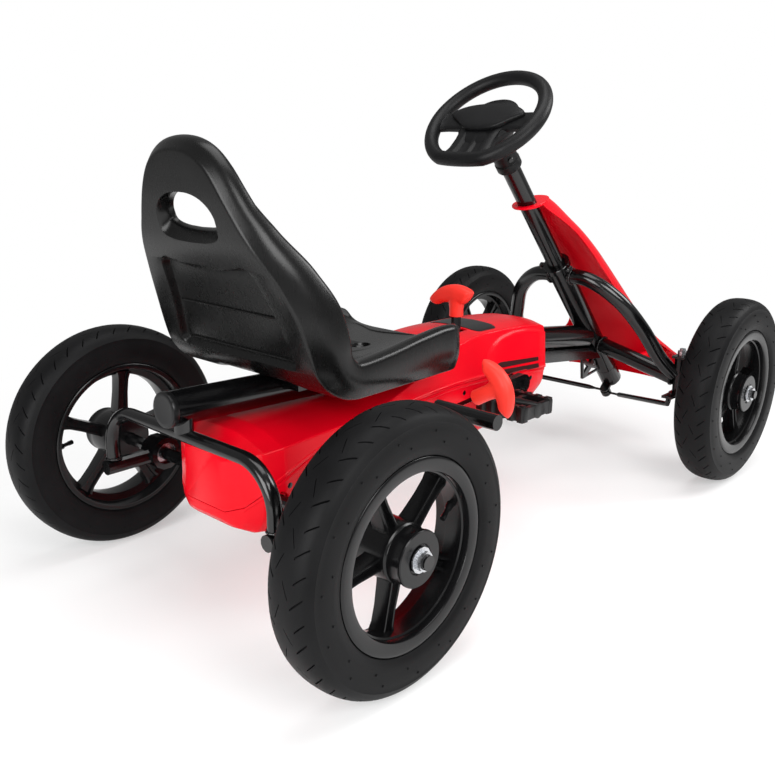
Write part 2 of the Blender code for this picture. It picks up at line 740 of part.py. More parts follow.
def make_chain():
    """Closed band of link plates. The teeth run in the channel between its two sides."""
    front = Vector((CRANK.x, CHAIN_Y, CRANK.z))
    rear = Vector((AXLE_REAR.x, CHAIN_Y, AXLE_REAR.z))
    line = (front - rear).normalized()
    above = Vector((-line.z, 0.0, line.x))
    spread = math.acos((CHAINRING_RADIUS - SPROCKET_RADIUS) / (front - rear).length)
    front_turn = arc(front, line, above, CHAINRING_RADIUS, spread, -spread, 13)
    rear_turn = arc(rear, line, above, SPROCKET_RADIUS, -spread, spread - 2 * math.pi, 9)
    lower = [front_turn[-1].lerp(rear_turn[0], k / 10) for k in range(1, 10)]
    upper = [rear_turn[-1].lerp(front_turn[0], k / 10) for k in range(1, 10)]
    outer = TOOTH_TIP + 0.0024
    web = TOOTH_TIP + 0.0007
    side = SPROCKET_THICK / 2 + 0.0015
    slot = side - 0.001
    section = [(side, outer), (-side, outer), (-side, -0.0042), (-slot, -0.0042), (-slot, web), (slot, web),
               (slot, -0.0042), (side, -0.0042)]
    bm = bmesh.new()
    path = front_turn + lower + rear_turn + upper
    sweep(bm, path, section, LEFT, closed=True)
    solid("chain", bm, ZINC)


def make_crank(backbone_space):
    bm = bmesh.new()
    half = LEFT * SHELL_HALF
    pipe(bm, CRANK - half, CRANK + half, AXLE_RADIUS + FIT, SHELL_RADIUS)
    shell = solid("crank_shell", bm, PAINT)
    bm = bmesh.new()
    box(bm, (CRANK.x - 0.015, -0.012, CRANK.z + SHELL_RADIUS - 0.003),
        (CRANK.x + 0.015, 0.012, backbone_height(CRANK.x)))
    join(shell, tool("crank_hanger", bm))
    cut(shell, backbone_space)

    arm_out = CRANK_ARM_Y + CRANK_ARM_THICK
    bm = bmesh.new()
    rod(bm, CRANK - LEFT * (arm_out + 0.004), CRANK + LEFT * (arm_out + 0.004), AXLE_RADIUS)
    crank = solid("crankshaft", bm, PAINT, "crank")
    bm = bmesh.new()
    for side in (1, -1):
        frame = axis_frame(CRANK, LEFT * side, FORWARD * side)
        big = arc((0, 0, 0), FORWARD, UP, 0.015, math.pi / 2, 3 * math.pi / 2, 7)
        small = arc((CRANK_ARM, 0, 0), FORWARD, UP, 0.011, -math.pi / 2, math.pi / 2, 7)
        outline = [(p.x, p.z) for p in big + small]
        prism(bm, outline, frame, CRANK_ARM_Y, arm_out)
    join(crank, tool("crank_arms", bm))
    bm = bmesh.new()
    for side in (1, -1):
        middle = pedal_centre(side)
        reach = LEFT * side * (PEDAL_WIDTH / 2 - 0.004)
        start = Vector((middle.x, side * (CRANK_ARM_Y + 0.002), middle.z))
        rod(bm, start, middle + reach, SPINDLE_RADIUS, 12)
    join(crank, tool("pedal_spindles", bm))
    for side in (1, -1):
        make_pedal(side)


def make_pedal(side):
    """Moulded block with toothed ends, two windows and a blind bore for its spindle."""
    middle = pedal_centre(side)
    half_x = PEDAL_LENGTH / 2
    half_y = PEDAL_WIDTH / 2
    notch = 0.006
    front = [(half_x, -half_y), (half_x, -0.5 * half_y), (half_x - notch, -0.4 * half_y),
             (half_x - notch, 0.4 * half_y), (half_x, 0.5 * half_y), (half_x, half_y)]
    outline = front + [(-x, -y) for x, y in front]
    frame = axis_frame(middle, UP, FORWARD)
    bm = bmesh.new()
    prism(bm, outline, frame, -PEDAL_HEIGHT / 2, PEDAL_HEIGHT / 2)
    name = "pedal_" + side_name(side)
    pedal = solid(name, bm, BLACK, name)
    bm = bmesh.new()
    for end in (1, -1):
        centre = middle + FORWARD * end * half_x * 0.52
        box(bm, centre - Vector((half_x * 0.18, half_y * 0.62, PEDAL_HEIGHT)),
            centre + Vector((half_x * 0.18, half_y * 0.62, PEDAL_HEIGHT)))
    inside = middle - LEFT * side * (half_y + 0.01)
    rod(bm, inside, middle + LEFT * side * (half_y - 0.003), SPINDLE_RADIUS + FIT, 12)
    cut(pedal, tool(name + "_spaces", bm))


def make_drive(backbone_space):
    bm = bmesh.new()
    tip = TRACK_REAR / 2 + HUB_OUT + TOUCH + NUT_HEIGHT + NUT_TIP
    rod(bm, AXLE_REAR - LEFT * tip, AXLE_REAR + LEFT * tip, AXLE_RADIUS)
    solid("rear_shaft", bm, ZINC, "rear_axle")
    bore = AXLE_RADIUS + FIT
    make_sprocket("rear_sprocket", AXLE_REAR, SPROCKET_TEETH, SPROCKET_RADIUS, bore, "rear_axle")
    make_sprocket("chainring", CRANK, CHAINRING_TEETH, CHAINRING_RADIUS, bore, "crank")
    make_chain()
    make_crank(backbone_space)


# Covers
def case_rows():
    """Rows along the chain case: place, half width, bottom, seam and top."""
    rear = CASE_HALF_REAR
    front = CASE_HALF_FRONT
    axle = AXLE_REAR.x
    tail = axle - CASE_TAIL
    deck = backbone_height(-0.26) - BACKBONE_RADIUS - 0.002
    return [(tail, rear - 0.026, 0.124, 0.160, 0.207), (tail + 0.010, rear - 0.009, 0.110, 0.165, 0.222),
            (axle - 0.0042, rear, 0.1045, 0.175, deck), (axle + 0.0778, rear, 0.107, 0.196, deck),
            (-0.262, rear - 0.001, 0.110, 0.205, deck), (-0.200, rear - 0.004, 0.114, 0.213, 0.247),
            (-0.150, rear - 0.007, 0.116, 0.218, 0.263), (-0.100, rear - 0.010, 0.119, 0.222, 0.281),
            (0.000, front + 0.009, 0.125, 0.226, 0.2885), (0.100, front + 0.004, 0.133, 0.226, 0.284),
            (0.155, front, 0.150, 0.225, 0.276), (0.182, front - 0.005, 0.164, 0.222, 0.268),
            (0.195, front - 0.016, 0.176, 0.218, 0.2605)]


def make_case_half(name, upper):
    """Half of the chain case: a squarish arch on upright lips at each row, closed at both ends."""
    steps = 7
    rings = []
    for x, half, bottom, seam, top in case_rows():
        way = 1 if upper else -1
        edge = seam + way * CASE_SEAM / 2
        lip = edge + way * CASE_LIP
        rise = (top if upper else bottom) - lip
        ring = [Vector((x, half, edge))]
        for k in range(steps):
            turn = math.pi * k / (steps - 1)
            y = half * math.copysign(abs(math.cos(turn)) ** 0.5, math.cos(turn))
            ring.append(Vector((x, y, lip + rise * math.sin(turn) ** 0.5)))
        rings.append(ring + [Vector((x, -half, edge))])
    count = steps + 2
    bm = bmesh.new()
    loops = [[bm.verts.new(p) for p in ring] for ring in rings]
    bm.faces.new(loops[0])
    bm.faces.new(reversed(loops[-1]))
    for a, b in zip(loops, loops[1:]):
        for i in range(count - 1):
            bm.faces.new((a[i + 1], a[i], b[i], b[i + 1]))
    if sum(f.normal.z * f.calc_area() for f in bm.faces if not f.normal_update()) * (1 if upper else -1) < 0:
        bmesh.ops.reverse_faces(bm, faces=bm.faces)
    case = make_object(name, bm, RED)
    add_wall(case, CASE_WALL)
    return case


def add_wall(obj, thickness):
    wall = obj.modifiers.new("wall", "SOLIDIFY")
    wall.thickness = thickness
    wall.offset = -1.0
    wall.use_even_offset = True


def cross_hole(bm, centre, radius):
    reach = LEFT * 0.12
    rod(bm, centre - reach, centre + reach, radius)


def make_case(backbone_space, brace_space):
    upper = make_case_half("case_upper", True)
    lower = make_case_half("case_lower", False)
    swing = (case_rows()[8][4] - SHIFT_PIVOT.z) * math.tan(SHIFT_SWING)
    slot_x = swing + LEVER_WIDTH / 2 + 0.003
    slot_y = LEVER_THICK / 2 + 0.003
    bm = bmesh.new()
    box(bm, (SHIFT_X - slot_x, SHIFT_Y - slot_y, SHIFT_PIVOT.z), (SHIFT_X + slot_x, SHIFT_Y + slot_y, 0.32))
    cut(upper, backbone_space, tool("shift_slot", bm))
    bm = bmesh.new()
    cross_hole(bm, AXLE_REAR, AXLE_RADIUS + CASE_HOLE_PLAY)
    cross_hole(bm, CRANK, AXLE_RADIUS + CASE_HOLE_PLAY)
    rod(bm, BRAKE_PIVOT, BRAKE_PIVOT + RIGHT * 0.12, BRAKE_PIN_RADIUS + TOUCH)
    bore = tool("case_bores", bm)
    cut(lower, bore, backbone_space, brace_space)
    cut(upper, brace_space)


def fairing_rows():
    """Rows down the front fairing: height, half width, edge and middle of the shield, and rise of its middle."""
    return [(0.4505, 0.0245, 0.192, 0.230, 0.0100), (0.444, 0.0262, 0.2005, 0.252, 0.0060),
            (0.432, 0.029, 0.224, 0.272, 0.0020), (0.420, 0.033, 0.247, 0.288, 0.0), (0.400, 0.038, 0.281, 0.318, 0.0),
            (0.370, 0.045, 0.316, 0.360, 0.0), (0.340, 0.048, 0.345, 0.397, 0.0), (0.310, 0.052, 0.374, 0.432, 0.0),
            (0.280, 0.058, 0.407, 0.465, 0.0), (0.250, 0.066, 0.440, 0.496, 0.0), (0.220, 0.080, 0.470, 0.520, 0.0),
            (0.200, 0.096, 0.482, 0.531, 0.0), (0.180, 0.120, 0.493, 0.537, 0.0), (0.165, 0.134, 0.505, 0.540, 0.0),
            (0.150, 0.131, 0.512, 0.541, 0.0), (0.131, 0.118, 0.518, 0.538, 0.0), (0.115, 0.104, 0.520, 0.533, 0.0)]


def make_fairing():
    """Bowed shield in front of the column, with a ring at its top that the column turns in."""
    count = 9
    bm = bmesh.new()
    loops = []
    for z, half, edge, middle, rise in fairing_rows():
        loop = []
        for k in range(count):
            turn = math.pi * k / (count - 1)
            bow = math.sin(turn)
            loop.append(bm.verts.new((edge + (middle - edge) * bow, half * math.cos(turn), z + rise * bow)))
        loops.append(loop)
    for a, b in zip(loops, loops[1:]):
        for i in range(count - 1):
            bm.faces.new((a[i], a[i + 1], b[i + 1], b[i]))
    if sum(f.normal.x * f.calc_area() for f in bm.faces if not f.normal_update()) < 0:
        bmesh.ops.reverse_faces(bm, faces=bm.faces)
    fairing = make_object("front_fairing", bm, RED)
    add_wall(fairing, FAIRING_WALL)
    plate = axis_frame(on_column(COLLAR_AT), Vector((-math.sin(COLLAR_LEAN), 0.0, math.cos(COLLAR_LEAN))), FORWARD)
    outline = [(p.x, p.y) for p in arc((0, 0, 0), FORWARD, LEFT, COLLAR_RADIUS, 0.5 * math.pi, 1.5 * math.pi, 13)]
    outline += [(0.020, -0.0240), (0.034, -0.0180), (0.0425, -0.0080), (0.0425, 0.0080), (0.034, 0.0180), (0.020, 0.0240)]
    bm = bmesh.new()
    prism(bm, outline, plate, -COLLAR_HEIGHT / 2, COLLAR_HEIGHT / 2)
    join(fairing, tool("fairing_plate", bm))
    for side in (1, -1):
        start, end = beam_ends(side)
        rows = [(-row[0], *row[1:]) for row in fairing_rows()]
        half = between(rows, -start.lerp(end, 0.5).z)[0]
        boss = start.lerp(end, BOSS_OUT * half / abs(end.y))
        half, edge, middle, _ = between(rows, -boss.z)
        wall = edge + (middle - edge) * math.sqrt(1 - (boss.y / half) ** 2) - FAIRING_WALL / 2
        bm = bmesh.new()
        rod(bm, boss, Vector((wall, boss.y, boss.z)), 0.008, 10)
        join(fairing, tool("fairing_boss_" + side_name(side), bm))
        bm = bmesh.new()
        rod(bm, start, end, BEAM_RADIUS + TOUCH, 14)
        cut(fairing, tool("beam_space_" + side_name(side), bm))
    bm = bmesh.new()
    rod(bm, on_column(COLLAR_AT - 0.06), on_column(COLLAR_AT + 0.05), COLUMN_RADIUS + FIT, 20)
    cut(fairing, tool("fairing_bore", bm))


# Steering
def make_steering():
    bm = bmesh.new()
    rod(bm, on_column(COLUMN_TOP), on_column(COLUMN_END), COLUMN_RADIUS, 20)
    solid("steering_column", bm, PAINT, "steering")

    start = HEAD_END + TOUCH
    plate_low = PITMAN_AT - EYE_THICKNESS - 0.0015
    plate_high = plate_low - BRACKET_PLATE
    bm = bmesh.new()
    pipe(bm, on_column(start), on_column(plate_low - 0.0005), COLUMN_RADIUS + FIT, HEAD_RADIUS, 20)
    pitman = solid("pitman_arm", bm, PAINT, "steering")
    frame = axis_frame(on_column(0.0), DOWN_COLUMN, -ACROSS_COLUMN)
    big = HEAD_RADIUS - 0.002
    small = PITMAN_PIN + 0.0055
    root = COLUMN_RADIUS + FIT + 0.001
    tip = [(PITMAN_RADIUS + small * math.cos(t), small * math.sin(t))
           for t in (-math.pi / 2, -math.pi / 4, 0.0, math.pi / 4, math.pi / 2)]
    bm = bmesh.new()
    prism(bm, [(root, -big * 0.5)] + tip + [(root, big * 0.5)], frame, plate_high, plate_low)
    pin = frame @ Vector((PITMAN_RADIUS, 0.0, plate_low - 0.001))
    join(pitman, tool("pitman_plate", bm))
    bm = bmesh.new()
    rod(bm, pin, pin + DOWN_COLUMN * (2 * EYE_THICKNESS + 0.006), PITMAN_PIN, 10)
    join(pitman, tool("pitman_pin", bm))
    make_steering_wheel()


def make_steering_wheel():
    frame = axis_frame(STEERING_TOP, -DOWN_COLUMN, RIGHT)
    path = []
    for k in range(28):
        turn = 2 * math.pi * k / 28
        y = WHEEL_RADIUS * math.sin(turn)
        if y < -WHEEL_FLAT:
            y = -WHEEL_FLAT + (y + WHEEL_FLAT) * 0.3
        path.append(frame @ Vector((WHEEL_RADIUS * math.cos(turn), y, 0.0)))
    bm = bmesh.new()
    sweep(bm, path, oval(WHEEL_GRIP, WHEEL_GRIP, 8), -DOWN_COLUMN, closed=True)
    hub = WHEEL_HUB_RADIUS
    bore = COLUMN_RADIUS + FIT
    depth = COLUMN_TOP - TOUCH
    profile = [(0.0, 0.002), (hub + 0.007, 0.002), (hub + 0.018, -0.005), (hub + 0.017, -0.013), (hub + 0.004, -0.032),
               (hub + 0.001, -0.046), (hub, -0.050), (hub, -WHEEL_HUB_LENGTH),
               (bore, -WHEEL_HUB_LENGTH), (bore, -depth), (0.0, -depth)]
    lathe(bm, profile, 16, frame)
    wheel = solid("steering_wheel", bm, BLACK, "steering")
    bm = bmesh.new()
    for turn, root, narrow, wide in ((-0.05, 0.019, 0.015, 0.021), (math.pi + 0.05, 0.019, 0.015, 0.021),
                                     (1.5 * math.pi, 0.020, 0.022, 0.031)):
        spoke = frame @ Matrix.Rotation(turn, 4, "Z")
        reach = WHEEL_RADIUS - 0.004 if abs(math.sin(turn)) < 0.5 else WHEEL_FLAT
        rings = []
        for radius, half in ((0.026, root), (reach * 0.72, narrow), (reach, wide)):
            rings.append([spoke @ Vector((radius, a, b))
                          for a, b in ((-half, -0.008), (half, -0.008), (half, 0.0), (-half, 0.0))])
        loft(bm, rings)
    join(wheel, tool("wheel_spokes", bm))

    rings = []
    for z, grow in ((0.002 + TOUCH, 1.0), (PAD_THICKNESS * 0.7, 0.97), (PAD_THICKNESS, 0.82)):
        outline = [(-0.052, 0.009), (-0.044, 0.019), (-0.022, 0.024), (0.022, 0.024), (0.044, 0.019), (0.052, 0.009),
                   (0.044, -0.005), (0.028, -0.015), (0.013, -0.027), (-0.013, -0.027), (-0.028, -0.015),
                   (-0.044, -0.005)]
        rings.append([frame @ Vector((x * grow, y * grow, z)) for x, y in outline])
    bm = bmesh.new()
    loft(bm, rings)
    solid("steering_pad", bm, BLACK, "steering")


def make_knuckle(side):
    """Steel yoke round the kingpin sleeve, with the stub axle and the steering arm on it."""
    name = side_name(side)
    body = "knuckle_" + name
    pivot = kingpin(side)
    low = SLEEVE_LOW - TOUCH
    high = SLEEVE_LOW + SLEEVE_HEIGHT + TOUCH
    plate = BRACKET_PLATE
    inner = -SLEEVE_RADIUS
    outer = BRACKET_REACH
    yoke = [(inner, low - plate), (outer + plate, low - plate), (outer + plate, high + plate),
            (inner, high + plate), (inner, high), (outer, high), (outer, low), (inner, low)]
    frame = axis_frame(Vector((pivot.x, pivot.y, 0.0)), FORWARD * side, LEFT * side)
    bm = bmesh.new()
    prism(bm, yoke, frame, -BRACKET_HALF, BRACKET_HALF)
    knuckle = solid(body, bm, PAINT, body)
    bm = bmesh.new()
    tip = TRACK_FRONT / 2 + HUB_OUT + TOUCH + NUT_HEIGHT + NUT_TIP
    start = Vector((pivot.x, pivot.y + side * (outer + plate / 2), AXLE_Z))
    rod(bm, start, Vector((pivot.x, side * tip, AXLE_Z)), STUB_RADIUS)
    arm_tip = rod_pivot(side)
    box(bm, (arm_tip.x - 0.009, pivot.y - 0.009, low - plate), (pivot.x - BRACKET_HALF / 2, pivot.y + 0.009, low))
    join(knuckle, tool("stub_and_arm_" + name, bm))
    bm = bmesh.new()
    rod(bm, pivot - UP * 0.05, pivot + UP * 0.05, KINGPIN_RADIUS + FIT, 12)
    cut(knuckle, tool("kingpin_bore_" + name, bm))

    below = low - plate - TOUCH - pivot.z
    above = high + plate + TOUCH - pivot.z
    stem = KINGPIN_RADIUS
    head = stem * 1.8
    profile = [(0.0, below - 0.006), (head, below - 0.006), (head, below), (stem, below), (stem, above),
               (head, above), (head, above + 0.008), (stem, above + 0.008), (stem, above + 0.012),
               (0.0, above + 0.012)]
    bm = bmesh.new()
    lathe(bm, profile, 12, axis_frame(pivot, UP), hexes=(1, 2, 5, 6))
    solid("kingpin_bolt_" + name, bm, ZINC, body)


def make_tie_rod(side):
    """Bent rod from under the knuckle's arm to its eye on the pin of the pitman arm."""
    name = "tie_rod_" + side_name(side)
    top = rod_pivot(side)
    offset = DOWN_COLUMN * (EYE_THICKNESS / 2 + 0.0005) * (-side)
    eye = PITMAN_POINT + offset
    hole = PITMAN_PIN + PIVOT_PLAY
    outer = hole + EYE_WALL
    low = top - UP * 0.010
    outward = LEFT * side
    knee = eye + outward * 0.022
    toward = (knee - low).normalized()
    path = [top, top - UP * 0.004, low + toward * 0.003 - UP * 0.001, low + toward * 0.012 - UP * 0.001,
            knee - toward * 0.012, knee, eye + outward * (hole + EYE_WALL / 2)]
    flat = EYE_THICKNESS * 0.44 / ROD_RADIUS
    taper = [1.0, 1.0, 1.0, 1.0, 1.0, flat, flat]
    bm = bmesh.new()
    half = DOWN_COLUMN * EYE_THICKNESS / 2
    pipe(bm, eye - half, eye + half, hole, outer, 14)
    tie = solid(name, bm, PAINT, name)
    bm = bmesh.new()
    sweep(bm, path, oval(ROD_RADIUS, ROD_RADIUS, 10), toward.cross(UP), taper=taper)
    join(tie, tool("rod_" + name, bm))


# Seat
def seat_spine():
    """Side profile of the seat's underside: pan, round corner and leaning back."""
    lean = Vector((-math.sin(SEAT_LEAN), 0.0, math.cos(SEAT_LEAN)))
    pan = -FORWARD
    corner = Vector((SEAT_BACK_FOOT, 0.0, SEAT_BASE))
    angle = math.acos(pan.dot(lean))
    radius = SEAT_BEND / math.tan(angle / 2)
    start = corner - pan * SEAT_BEND
    centre = start + UP * radius
    front = Vector((SEAT_FRONT, 0.0, SEAT_BASE))
    pan_length = (start - front).length
    back_length = (SEAT_TOP - SEAT_BASE) / lean.z - SEAT_BEND
    bend = radius * angle

    def at(distance):
        if distance <= pan_length:
            return front + pan * distance, UP
        if distance <= pan_length + bend:
            turn = (distance - pan_length) / radius
            inward = UP * math.cos(turn) + FORWARD * math.sin(turn)
            return centre - inward * radius, inward
        inward = Vector((lean.z, 0.0, -lean.x))
        return corner + lean * (SEAT_BEND + distance - pan_length - bend), inward

    return at, pan_length, bend, back_length


def seat_rows(pan, bend, back):
    """Along the seat: half width, wing height, floor height, recess behind, and how far the back bows out."""
    half = SEAT_HALF
    wing = SEAT_WING
    floor = SEAT_FLOOR
    deep = SEAT_RECESS
    top = pan + bend + back
    foot = pan + bend
    return [(0.0, half - 0.044, wing * 0.52, floor * 0.85, deep * 0.8, 0.0),
            (0.012, half - 0.020, wing * 0.84, floor, deep, 0.0), (0.045, half - 0.008, wing, floor, deep, 0.0),
            (pan * 0.45, half - 0.004, wing * 0.94, floor, deep, 0.0),
            (pan * 0.8, half - 0.001, wing * 0.79, floor, deep, 0.0), (pan, half, wing * 0.74, floor, deep, 0.0),
            (foot, half, wing * 0.90, floor * 0.75, 0.006, 0.0),
            (foot + back * 0.16, half - 0.003, wing * 0.97, floor * 0.72, 0.005, 0.0),
            (foot + back * 0.38, half - 0.017, wing * 0.88, floor * 0.70, 0.005, 0.004),
            (foot + back * 0.58, half - 0.040, wing * 0.76, floor * 0.70, 0.005, 0.010),
            (foot + back * 0.74, half - 0.062, wing * 0.67, floor * 0.74, 0.003, 0.008),
            (foot + back * 0.87, half - 0.077, wing * 0.58, floor * 0.78, 0.001, 0.004),
            (foot + back * 0.955, half - 0.094, wing * 0.48, floor * 0.76, 0.0, 0.001),
            (top, half - 0.120, wing * 0.33, floor * 0.58, 0.0, 0.0)]


def make_seat(backbone_space):
    """One moulding: its section, with raised wings and a hollow back, is carried along the spine."""
    at, pan, bend, back = seat_spine()
    rows = seat_rows(pan, bend, back)
    stops = sorted({row[0] for row in rows} | {pan * 0.3} | {pan + bend * k / 5 for k in range(1, 5)})
    rings = []
    for stop in stops:
        half, wing, floor, deep, bow = between(rows, stop)
        point, inward = at(stop)
        point = point - inward * bow
        outline = [(0.0, deep), (0.42, deep), (0.53, 0.0), (0.86, 0.0), (0.97, 0.16 * wing), (1.0, 0.50 * wing),
                   (0.965, 0.86 * wing), (0.90, wing), (0.80, 0.93 * wing), (0.66, floor + 0.25 * (wing - floor)),
                   (0.50, floor), (0.0, floor)]
        loop = outline + [(-a, b) for a, b in reversed(outline[1:-1])]
        rings.append([point + LEFT * half * a + inward * b for a, b in loop])
    bm = bmesh.new()
    loft(bm, rings)
    seat = solid("seat", bm, BLACK, "seat")

    stop = pan + bend + (SEAT_HOLE_Z - at(pan + bend)[0].z) / math.cos(SEAT_LEAN)
    point, inward = at(stop)
    frame = axis_frame(point, inward, LEFT)
    wide = SEAT_HOLE_WIDTH / 2
    tall = SEAT_HOLE_HEIGHT / 2
    outline = []
    for k in range(16):
        turn = 2 * math.pi * k / 16
        x = wide * math.copysign(abs(math.cos(turn)) ** 0.65, math.cos(turn))
        y = tall * math.copysign(abs(math.sin(turn)) ** 0.65, math.sin(turn))
        outline.append((x * (1.0 - 0.18 * y / tall), y))
    bm = bmesh.new()
    prism(bm, outline, frame, -0.05, 0.10)
    cut(seat, tool("seat_hole", bm))

    top = SEAT_BASE + SEAT_RECESS - TOUCH
    bm = bmesh.new()
    low = backbone_height(CLAMP_FRONT) + 0.004
    box(bm, (CLAMP_FRONT - CLAMP_LENGTH, -CLAMP_HALF, low), (CLAMP_FRONT, CLAMP_HALF, top))
    cut(solid("seat_clamp", bm, PAINT, "seat"), backbone_space)


# Levers
def make_grip(name, root, out, across, body):
    """Red crescent grip on a round neck, at the end of a lever."""
    normal = out.cross(across)
    centre = root + out * (LEVER_LENGTH + 0.034 - GRIP_ARC)
    path = arc(centre, out, across, GRIP_ARC, -GRIP_SPREAD, GRIP_SPREAD, 11)
    taper = [0.62 + 0.38 * math.sin(math.pi * k / 10) ** 0.6 for k in range(11)]
    bm = bmesh.new()
    sweep(bm, path, oval(GRIP_RADIUS * 1.15, GRIP_RADIUS * 0.85, 10), normal, taper=taper)
    grip = solid(name, bm, RED, body)
    bm = bmesh.new()
    rod(bm, root + out * (LEVER_LENGTH + TOUCH), root + out * (LEVER_LENGTH + 0.034), NECK_RADIUS, 12)
    join(grip, tool(name + "_neck", bm))


def make_brake():
    pivot = BRAKE_PIVOT
    hub_in = pivot + RIGHT * BRAKE_HUB_Y
    hub_out = hub_in + RIGHT * BRAKE_HUB_LENGTH
    plate_x = 0.014
    plate_in = BACKBONE_RADIUS + TOUCH
    bm = bmesh.new()
    box(bm, (pivot.x - plate_x, -plate_in - 0.004, pivot.z - plate_x),
        (pivot.x + plate_x, -plate_in, backbone_height(pivot.x) + 0.006))
    bracket = solid("brake_pivot", bm, PAINT)
    bm = bmesh.new()
    rod(bm, pivot + RIGHT * (plate_in + 0.002), hub_out + RIGHT * 0.002, BRAKE_PIN_RADIUS)
    join(bracket, tool("brake_pin", bm))

    bm = bmesh.new()
    pipe(bm, hub_in, hub_out, BRAKE_PIN_RADIUS + FIT, BRAKE_PIN_RADIUS + 0.0055)
    lever = solid("brake_lever", bm, PAINT, "brake")
    root = hub_in + RIGHT * BRAKE_HUB_LENGTH * 0.5 + UP * (BRAKE_PIN_RADIUS + 0.0032)
    thick = BRAKE_OUT.cross(FORWARD)
    bm = bmesh.new()
    rings = []
    for reach in (0.0, LEVER_LENGTH):
        centre = root + BRAKE_OUT * reach
        rings.append([centre + FORWARD * a * LEVER_WIDTH / 2 + thick * b * LEVER_THICK / 2
                      for a, b in ((-1, -1), (1, -1), (1, 1), (-1, 1))])
    loft(bm, rings)
    foot = Vector((pivot.x, hub_out.y + 0.005, pivot.z))
    bar = Vector((BRAKE_BAR.x, -BRAKE_BAR_START, BRAKE_BAR.z))
    along = (bar - foot).normalized()
    flat = along.cross(LEFT).normalized()
    side = flat.cross(along)
    rings = []
    for point in (foot + along * (BRAKE_PIN_RADIUS + 0.0035), bar - along * 0.002):
        rings.append([point + flat * a * 0.008 + side * b * LEVER_THICK / 2 for a, b in ((-1, -1), (1, -1), (1, 1), (-1, 1))])
    arm_bm = bmesh.new()
    loft(arm_bm, rings)
    join(lever, tool("brake_flat", bm), tool("brake_arm", arm_bm))
    bm = bmesh.new()
    rod(bm, bar + LEFT * 0.02, bar + RIGHT * 0.02, BRAKE_BAR_RADIUS + TOUCH, 14)
    cut(lever, tool("brake_bar_space", bm))

    bm = bmesh.new()
    rod(bm, bar + LEFT * 0.006, Vector((bar.x, -BRAKE_BAR_END, bar.z)), BRAKE_BAR_RADIUS, 14)
    solid("brake_bar", bm, BLACK, "brake")
    make_grip("brake_grip", root, BRAKE_OUT, BRAKE_OUT.cross(FORWARD), "brake")


def make_shift():
    pivot = SHIFT_PIVOT
    at = Vector((pivot.x, SHIFT_Y, pivot.z))
    pin = 0.005
    bm = bmesh.new()
    rod(bm, pivot + RIGHT * (BACKBONE_RADIUS + TOUCH), at + RIGHT * (LEVER_THICK / 2 + 0.003), pin, 12)
    solid("shift_pin", bm, ZINC)
    eye = LEVER_WIDTH / 2 + 0.001
    half = LEVER_WIDTH / 2
    round_end = arc((0, 0, 0), FORWARD, UP, eye, math.pi, 2 * math.pi, 9)
    outline = [(p.x, p.z) for p in round_end] + [(half, eye), (half, LEVER_LENGTH), (-half, LEVER_LENGTH), (-half, eye)]
    bm = bmesh.new()
    prism(bm, outline, axis_frame(at, RIGHT, FORWARD), -LEVER_THICK / 2, LEVER_THICK / 2)
    lever = solid("shift_lever", bm, PAINT, "shift")
    bm = bmesh.new()
    rod(bm, at - RIGHT * 0.01, at + RIGHT * 0.01, pin + FIT, 12)
    cut(lever, tool("shift_bore", bm))
    make_grip("shift_grip", at, UP, LEFT, "shift")


def main():
    make_wheels()
    head_cutter = column_cutter("head_space", HEAD_RADIUS + TOUCH)
    make_backbone(head_cutter)
    brace_drop, brace_space = make_brace(head_cutter)
    make_stay(brace_drop, head_cutter)
    make_head_tube()
    make_front_frame(head_cutter, brace_space)
    backbone_space = make_rear_frame()
    make_drive(backbone_space)
    make_case(backbone_space, brace_space)
    make_fairing()
    make_steering()
    for side in (1, -1):
        make_knuckle(side)
        make_tie_rod(side)
    make_seat(backbone_space)
    make_brake()
    make_shift()


main()
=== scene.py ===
# %% [markdown]
# A pedal go kart, dressed for a studio picture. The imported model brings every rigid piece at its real
# size. This lesson keeps the tubes, pins and nuts as they are, and builds finer meshes for what the eye
# rests on: tyres, rims, seat, covers, steering wheel, pedals and grips.

# %% Load the fixed frame
import json
import math

import bmesh
import bpy
from mathutils import Matrix, Vector


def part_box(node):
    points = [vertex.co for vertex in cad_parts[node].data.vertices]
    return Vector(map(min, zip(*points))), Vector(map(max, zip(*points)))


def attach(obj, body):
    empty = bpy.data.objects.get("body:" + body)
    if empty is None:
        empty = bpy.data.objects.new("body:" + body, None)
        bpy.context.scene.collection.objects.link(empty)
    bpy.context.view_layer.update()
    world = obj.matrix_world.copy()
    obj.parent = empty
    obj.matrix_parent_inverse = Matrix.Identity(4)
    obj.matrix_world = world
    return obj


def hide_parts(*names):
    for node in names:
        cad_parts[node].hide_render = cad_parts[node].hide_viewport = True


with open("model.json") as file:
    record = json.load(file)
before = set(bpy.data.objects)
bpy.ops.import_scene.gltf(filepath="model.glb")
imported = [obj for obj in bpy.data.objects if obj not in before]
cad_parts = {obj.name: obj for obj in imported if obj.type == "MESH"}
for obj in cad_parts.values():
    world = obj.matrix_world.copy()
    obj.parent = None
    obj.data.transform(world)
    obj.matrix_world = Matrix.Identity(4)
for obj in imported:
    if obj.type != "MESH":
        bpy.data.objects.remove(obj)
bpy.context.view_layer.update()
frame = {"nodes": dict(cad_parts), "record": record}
nodes = frame["nodes"]

# %% [markdown]
# Colours are written the way a paint chart gives them, as sRGB hex, and turned to linear light by one
# function. One small function adds a shader or geometry node, sets its values and makes its links.

# %% Helpers for colours and nodes


def linear(code):
    """A hex colour as the linear values that Blender works in."""
    channels = [int(code[i:i + 2], 16) / 255 for i in (1, 3, 5)]
    bent = [c / 12.92 if c <= 0.04045 else ((c + 0.055) / 1.055) ** 2.4 for c in channels]
    return (*bent, 1.0)


